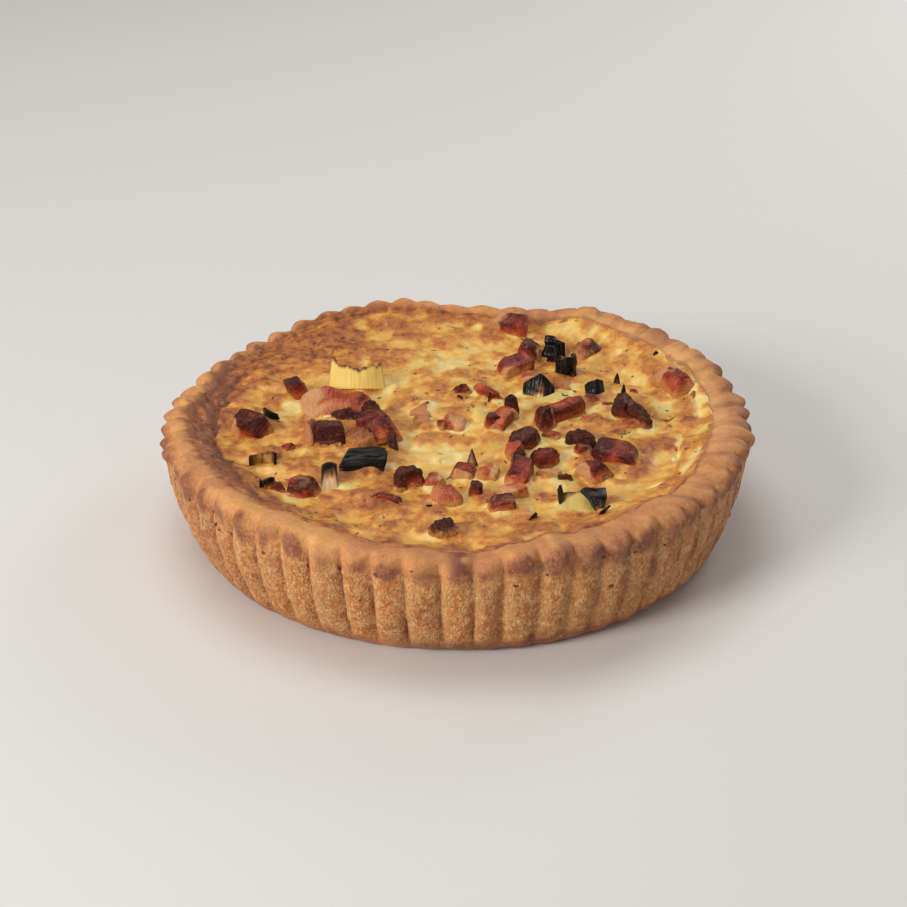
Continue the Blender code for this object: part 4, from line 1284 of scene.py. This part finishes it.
def shape_bacon(piece, cut, centre, seed):
    """Slices, bends and wrinkles a block into a piece of bacon, and paints its colours."""
    unit = points_of(piece)
    norm = (np.abs(unit) ** cut.square).sum(axis=1) ** (1 / cut.square)
    unit = unit / norm[:, None]
    size = np.array([cut.length, cut.width, cut.height + SINK]) / 2
    local = unit * size
    local[:, :2] *= 1 - cut.taper * unit[:, 2:]
    local = facet(local, cut.facets, seed)
    at = local + seed * 37.0
    outward = unit / np.linalg.norm(unit, axis=1)[:, None]
    edge = smoothstep(0.62, 0.97, np.sort(np.abs(unit), axis=1)[:, 1])
    top = smoothstep(-0.1, 0.9, unit[:, 2])
    creases = ridges(at * np.array([1, 0.6, 1]), 3.0, seed + 4)
    local += 0.12 * size.max() * cut.rough * np.stack([noise(at, 6, seed + k) for k in (1, 2, 3)], axis=1)
    crumbly = 0.07 + 0.16 * smoothstep(0.2, 0.7, cut.char + 0 * top)
    wrinkled = 0.30 * cloud(at, 2.6, 3, seed + 5) + crumbly * cloud(at, 1.1, 1, seed + 13) - 0.45 * creases * top
    local += outward * (cut.rough * wrinkled)[:, None]
    local[:, 2] += (cut.height - SINK) / 2

    pointing = math.radians(cut.fat_way)
    facing = unit[:, 0] * math.cos(pointing) + unit[:, 1] * math.sin(pointing)
    layer = facing + 0.30 * cloud(at, 4, 2, seed + 6)
    border = 1.15 - 2.2 * cut.fat
    fatty = smoothstep(border - 0.12, border + 0.12, layer) if cut.fat else 0 * layer
    marbling = 0.35 * smoothstep(0.8, 1.0, ridges(at * np.array([0.4, 1.4, 1.4]), 3.4, seed + 9))
    pointing = math.radians(cut.char_way)
    toward = unit[:, 0] * math.cos(pointing) + unit[:, 1] * math.sin(pointing)
    burning = cut.char * 1.6 - 0.75 + 0.30 * top + 0.28 * edge + 0.22 * toward
    burning += 0.40 * cloud(at, 4.0, 3, seed + 7) - 0.3 * fatty
    tone = cut.tone + cut.shift * unit[:, 0] + 0.34 * cloud(at, 5.5, 2, seed + 8) - 0.24 * top - 0.08 * edge + 0.14
    clinging = local[:, 2] - 0.9 * cloud(at, 2.2, 3, seed + 10)
    coat = smoothstep(0.3 + 3.0 * cut.coat, -0.2, clinging)
    coat += 0.8 * cut.coat * smoothstep(0.35, 0.8, cloud(at, 5, 3, seed + 11)) * (1 - edge)
    paint(piece, "fat", np.clip(fatty + marbling * (1 - cut.char), 0, 1) * 0.9)
    paint(piece, "char", smoothstep(0.0, 0.5, burning) * (cut.char > 0))
    paint(piece, "tone", np.clip(tone, 0, 1))
    paint(piece, "coat", np.clip(coat, 0, 0.9) * (1 - 0.8 * smoothstep(0.5, 0.9, cut.char + 0 * coat)))
    paint(piece, "meat", local * MM)
    local = bend(bend(local, 1, cut.curl, cut.length), 2, cut.arch, cut.length)
    pitch = np.array(Matrix.Rotation(math.radians(cut.pitch), 3, "Y"))
    set_points(piece, place(local @ pitch.T, *centre, cut.turn, cut.lean))


def leaf_sheet(columns, rows):
    """A flat sheet, 2 mm across and up, standing in the XZ plane."""
    deselect()
    bpy.ops.mesh.primitive_grid_add(x_subdivisions=columns, y_subdivisions=rows, size=2 * MM)
    sheet = bpy.context.object
    points = points_of(sheet)
    set_points(sheet, np.stack([points[:, 0], 0 * points[:, 0], points[:, 1]], axis=1))
    return sheet


def shape_leaf(sheet, leaf, centre, seed):
    """Curls a sheet round part of a circle, frays its top, and gives it its thickness."""
    unit = points_of(sheet)
    across = unit[:, 0]
    up = (unit[:, 2] + 1) / 2
    half = math.radians(leaf.opening) / 2
    radius = leaf.width / 2 / math.sin(min(half, math.pi / 2))
    line = flat_points(across * leaf.width / 2 + seed * 31.0, 0 * across)
    fray = leaf.ragged * (0.5 * cloud(line, 3.0, 3, seed) + 0.35 * np.abs(across) ** 3)
    sag = leaf.dip * (1 - across**2) + 0.08 * across**2 + 0.45 * fray
    top = leaf.rise * (1 - np.clip(sag, -0.8, 0.75) + 0.5 * leaf.slope * across)
    top = top * (1 - leaf.peak * np.abs(across))
    sunk = 0 if leaf.tile else SINK
    height = -sunk + up * (top + sunk)
    wave = noise(np.stack([line[:, 0], 0 * up, height], axis=1), 4.5, seed + 2)
    angle = half * across * (1 - leaf.taper * (1 - up)) - math.pi / 2
    reach_out = radius + 0.5 * wave * leaf.wall
    if not leaf.tile:
        reach_out = reach_out - 0.10 * leaf.rise * up**2
    bent = math.radians(leaf.hook) * smoothstep(0.55, 1.0, up)
    local = np.stack([
        reach_out * np.cos(angle),
        reach_out * np.sin(angle) + radius * math.cos(half) + leaf.rise * 0.4 * np.sin(bent),
        height - leaf.rise * 0.25 * (1 - np.cos(bent)),
    ], axis=1)
    grain = np.stack([across * leaf.width / 2, height, 0 * height], axis=1) * MM
    from_top = (top - height) / max(leaf.rise, 1)
    rim = np.maximum(np.abs(across) ** 6, smoothstep(0.25, 0.0, from_top))
    burning = leaf.char * (1.25 - from_top / max(leaf.reach, 0.05))
    burning += 0.22 * leaf.char * cloud(local + seed, 3, 2, seed + 3) + 0.35 * rim * leaf.char
    burning += leaf.ends * np.abs(across) ** 3
    if leaf.tile:
        tip = smoothstep(0.30, 0.0, up) * smoothstep(0.5, 0.95, across)
        local[:, 2] -= leaf.rise / 2 + smoothstep(0.5, 0.0, up) * (5.0 * smoothstep(-0.6, 1.0, across) - 1.2)
        local = np.stack([local[:, 2], -local[:, 0], -local[:, 1]], axis=1)
        local[:, 2] -= radius * math.cos(half) * 0 + 1.2
        burning -= 0.9 * tip
    paint(sheet, "char", np.clip(burning, 0, 1))
    paint(sheet, "tone", np.full(len(up), leaf.green))
    paint(sheet, "blush", np.full(len(up), leaf.blush))
    paint(sheet, "leaf", grain + np.array([seed * 0.013, 0, 0]))
    set_points(sheet, place(local, *centre, leaf.turn, leaf.lean))
    solid = sheet.modifiers.new("thickness", "SOLIDIFY")
    solid.thickness = leaf.wall * MM
    solid.offset = 0
    bpy.context.view_layer.objects.active = sheet
    bpy.ops.object.modifier_apply(modifier=solid.name)


def seat_of(node):
    """The middle of a CAD piece in plan, and the custard's height there."""
    x, y = middle_of(node)
    return float(x), float(y), seat_height(x, y)


def seat_height(x, y):
    return float(custard_surface(np.array([float(x)]), np.array([float(y)]))[0][0])


# ---------------------------------------------------------------------------------------------
# Operators.
# ---------------------------------------------------------------------------------------------


def shared_group(name, build):
    return bpy.data.node_groups.get(name) or build()


def grain_finish():
    return shared_group("Baked Grain", crumb_group)


def fibre_finish():
    return shared_group("Fibre", fibre_group)


class QUICHE_OT_pastry_case(bpy.types.Operator):
    """Model the fluted pastry case"""

    bl_idname = "quiche.pastry_case"
    bl_label = "Pastry Case"

    def execute(self, context):
        settings = context.scene.quiche_pastry
        case = spin_case(settings)
        shape_case(case, settings)
        material = pastry_material(settings, grain_finish())
        finish_piece(case, "baked_case", material, ["pastry_case"])
        chips = make_chips(case, settings)
        burnt = plain_material("burnt chips", settings.char, settings.caught, 0.6, grain_finish())
        finish_piece(chips, "burnt_chips", burnt)
        return {"FINISHED"}


class QUICHE_OT_custard(bpy.types.Operator):
    """Model the custard and its browned top"""

    bl_idname = "quiche.custard"
    bl_label = "Custard"

    def execute(self, context):
        settings = context.scene.quiche_custard
        custard = make_custard_mesh(settings)
        material = custard_material(settings, grain_finish())
        finish_piece(custard, "baked_custard", material, ["custard"])
        return {"FINISHED"}


class QUICHE_OT_bacon(bpy.types.Operator):
    """Model every piece of bacon"""

    bl_idname = "quiche.bacon"
    bl_label = "Bacon"

    def execute(self, context):
        settings = context.scene.quiche_toppings
        material = bacon_material(settings, fibre_finish(), grain_finish())
        model = block(settings.cuts)
        for number, cut in BACON.items():
            node = f"bacon_{number:02d}"
            piece = copy_of(model)
            x, y, z = seat_of(node)
            shape_bacon(piece, cut, (x + cut.dx, y, z), number * 11)
            finish_piece(piece, f"fried_{node}", material, [node])
        bpy.data.objects.remove(model)
        model = block(settings.cuts // 2)
        scraps = []
        for number, (x, y, cut) in enumerate(SCRAPS):
            piece = copy_of(model)
            shape_bacon(piece, cut, (x, y, seat_height(x, y)), number * 13 + 501)
            scraps.append(piece)
        bpy.data.objects.remove(model)
        finish_piece(join(scraps), "bacon_scraps", material)
        return {"FINISHED"}


class QUICHE_OT_leek(bpy.types.Operator):
    """Model every piece of leek"""

    bl_idname = "quiche.leek"
    bl_label = "Leek"

    def execute(self, context):
        settings = context.scene.quiche_toppings
        material = leek_material(settings, fibre_finish())
        model = leaf_sheet(44, 20)
        for number, leaf in LEEK.items():
            node = f"leek_{number:02d}"
            piece = copy_of(model)
            shape_leaf(piece, leaf, seat_of(node), number * 7)
            finish_piece(piece, f"baked_{node}", material, [node])
        bpy.data.objects.remove(model)
        model = leaf_sheet(14, 12)
        slivers = []
        for number, (x, y, width, rise, turn, lean, char) in enumerate(SLIVERS):
            piece = copy_of(model)
            leaf = Leaf(0.6 * width, 0.7, rise, 60, turn, lean, char, 1.2, 0.45, -0.8, 14, peak=0.5, green=0.3)
            shape_leaf(piece, leaf, (x, y, seat_height(x, y)), number * 5 + 301)
            slivers.append(piece)
        for number, (x, y, leaf) in enumerate(STRAY_LEAVES):
            piece = copy_of(model)
            shape_leaf(piece, leaf, (x, y, seat_height(x, y)), number * 5 + 701)
            slivers.append(piece)
        bpy.data.objects.remove(model)
        finish_piece(join(slivers), "leek_slivers", material)
        return {"FINISHED"}


class QUICHE_OT_herbs(bpy.types.Operator):
    """Scatter dried herbs over the custard"""

    bl_idname = "quiche.herbs"
    bl_label = "Herbs"

    def execute(self, context):
        settings = context.scene.quiche_toppings
        dice = random.Random(5)
        model = block(2)
        flecks = []
        for number in range(190):
            angle = dice.uniform(0, math.tau)
            radius = 88 * math.sqrt(dice.random())
            x, y = radius * math.cos(angle), radius * math.sin(angle)
            if number >= 160:
                x, y = dice.uniform(-70, -36), dice.uniform(54, 76)
            if math.hypot(x, y) > 89:
                continue
            fleck = copy_of(model)
            unit = points_of(fleck)
            norm = (np.abs(unit) ** 3).sum(axis=1) ** (1 / 3)
            length, width = dice.uniform(0.6, 2.1), dice.uniform(0.25, 0.7)
            local = unit / norm[:, None] * np.array([length / 2, width / 2, 0.16])
            local[:, 1] += 0.25 * local[:, 0] ** 2 * dice.uniform(-1, 1)
            centre = (x, y, seat_height(x, y) + 0.08)
            set_points(fleck, place(local, *centre, dice.uniform(0, 360), dice.uniform(-12, 12)))
            flecks.append(fleck)
        bpy.data.objects.remove(model)
        material = plain_material("dried herb", settings.herb_dark, settings.herb, 0.6, grain_finish())
        finish_piece(join(flecks), "herb_flecks", material)
        return {"FINISHED"}


def aim(obj, at, target):
    """Puts obj at a point and turns its -Z axis to another."""
    obj.location = at
    obj.rotation_euler = (Vector(target) - Vector(at)).to_track_quat("-Z", "Y").to_euler()


def soft_light(name, at, size, power, colour):
    bpy.ops.object.light_add(type="AREA", location=at)
    lamp = bpy.context.object
    lamp.name = name
    lamp.data.shape = "DISK"
    lamp.data.size = size
    lamp.data.energy = power
    lamp.data.color = colour
    aim(lamp, at, (0, 0, 0.02))
    return lamp


class QUICHE_OT_stage(bpy.types.Operator):
    """Set the floor, the lights and the camera"""

    bl_idname = "quiche.stage"
    bl_label = "Stage"

    def execute(self, context):
        settings = context.scene.quiche_stage
        deselect()
        bpy.ops.mesh.primitive_plane_add(size=8.0, location=(0, 0, -0.0002))
        floor = context.object
        floor.name = "floor"
        made, tree, shader = new_material("floor", roughness=0.7)
        shader.inputs["Base Color"].default_value = (*settings.floor, 1.0)
        floor.data.materials.append(made)
        soft_light("key", (-0.85, -0.80, 0.62), 0.5, settings.key, (1.0, 0.97, 0.93))
        soft_light("top", (-0.15, 0.25, 1.05), 0.7, settings.top, (1.0, 0.98, 0.96))
        soft_light("fill", (0.6, -0.9, 0.4), 0.8, settings.fill, (1.0, 0.98, 0.96))
        soft_light("back", (0.55, 0.75, 0.45), 0.4, settings.back, (1.0, 0.98, 0.96))
        world = bpy.data.worlds.new("studio")
        world.use_nodes = True
        background = world.node_tree.nodes["Background"]
        background.inputs["Color"].default_value = (1.0, 0.99, 0.97, 1.0)
        background.inputs["Strength"].default_value = settings.sky
        context.scene.world = world
        bpy.ops.object.camera_add()
        camera = context.object
        camera.name = "camera"
        camera.data.lens = CAMERA_LENS
        camera.data.sensor_width = 36.0
        camera.data.shift_x, camera.data.shift_y = CAMERA_SHIFT
        camera.data.clip_start = 0.01
        aim(camera, CAMERA_AT, CAMERA_LOOKS_AT)
        context.scene.camera = camera
        context.scene.view_settings.view_transform = "Standard"
        return {"FINISHED"}


class QUICHE_PT_panel(bpy.types.Panel):
    """Build the quiche, piece by piece"""

    bl_label = "Quiche"
    bl_idname = "QUICHE_PT_panel"
    bl_space_type = "VIEW_3D"
    bl_region_type = "UI"
    bl_category = "Quiche"

    def draw(self, context):
        for operator in OPERATORS:
            self.layout.operator(operator.bl_idname)


OPERATORS = (
    QUICHE_OT_pastry_case,
    QUICHE_OT_custard,
    QUICHE_OT_bacon,
    QUICHE_OT_leek,
    QUICHE_OT_herbs,
    QUICHE_OT_stage,
)
SETTINGS = {
    "quiche_pastry": QuichePastrySettings,
    "quiche_custard": QuicheCustardSettings,
    "quiche_toppings": QuicheToppingSettings,
    "quiche_stage": QuicheStageSettings,
}


def register():
    for made in (*SETTINGS.values(), *OPERATORS, QUICHE_PT_panel):
        bpy.utils.register_class(made)
    for name, made in SETTINGS.items():
        setattr(bpy.types.Scene, name, PointerProperty(type=made))


def unregister():
    for name in SETTINGS:
        delattr(bpy.types.Scene, name)
    for made in reversed((*SETTINGS.values(), *OPERATORS, QUICHE_PT_panel)):
        bpy.utils.unregister_class(made)


def main():
    register()
    bpy.ops.quiche.pastry_case()
    bpy.ops.quiche.custard()
    bpy.ops.quiche.bacon()
    bpy.ops.quiche.leek()
    bpy.ops.quiche.herbs()
    bpy.ops.quiche.stage()


if __name__ == "__main__":
    main()
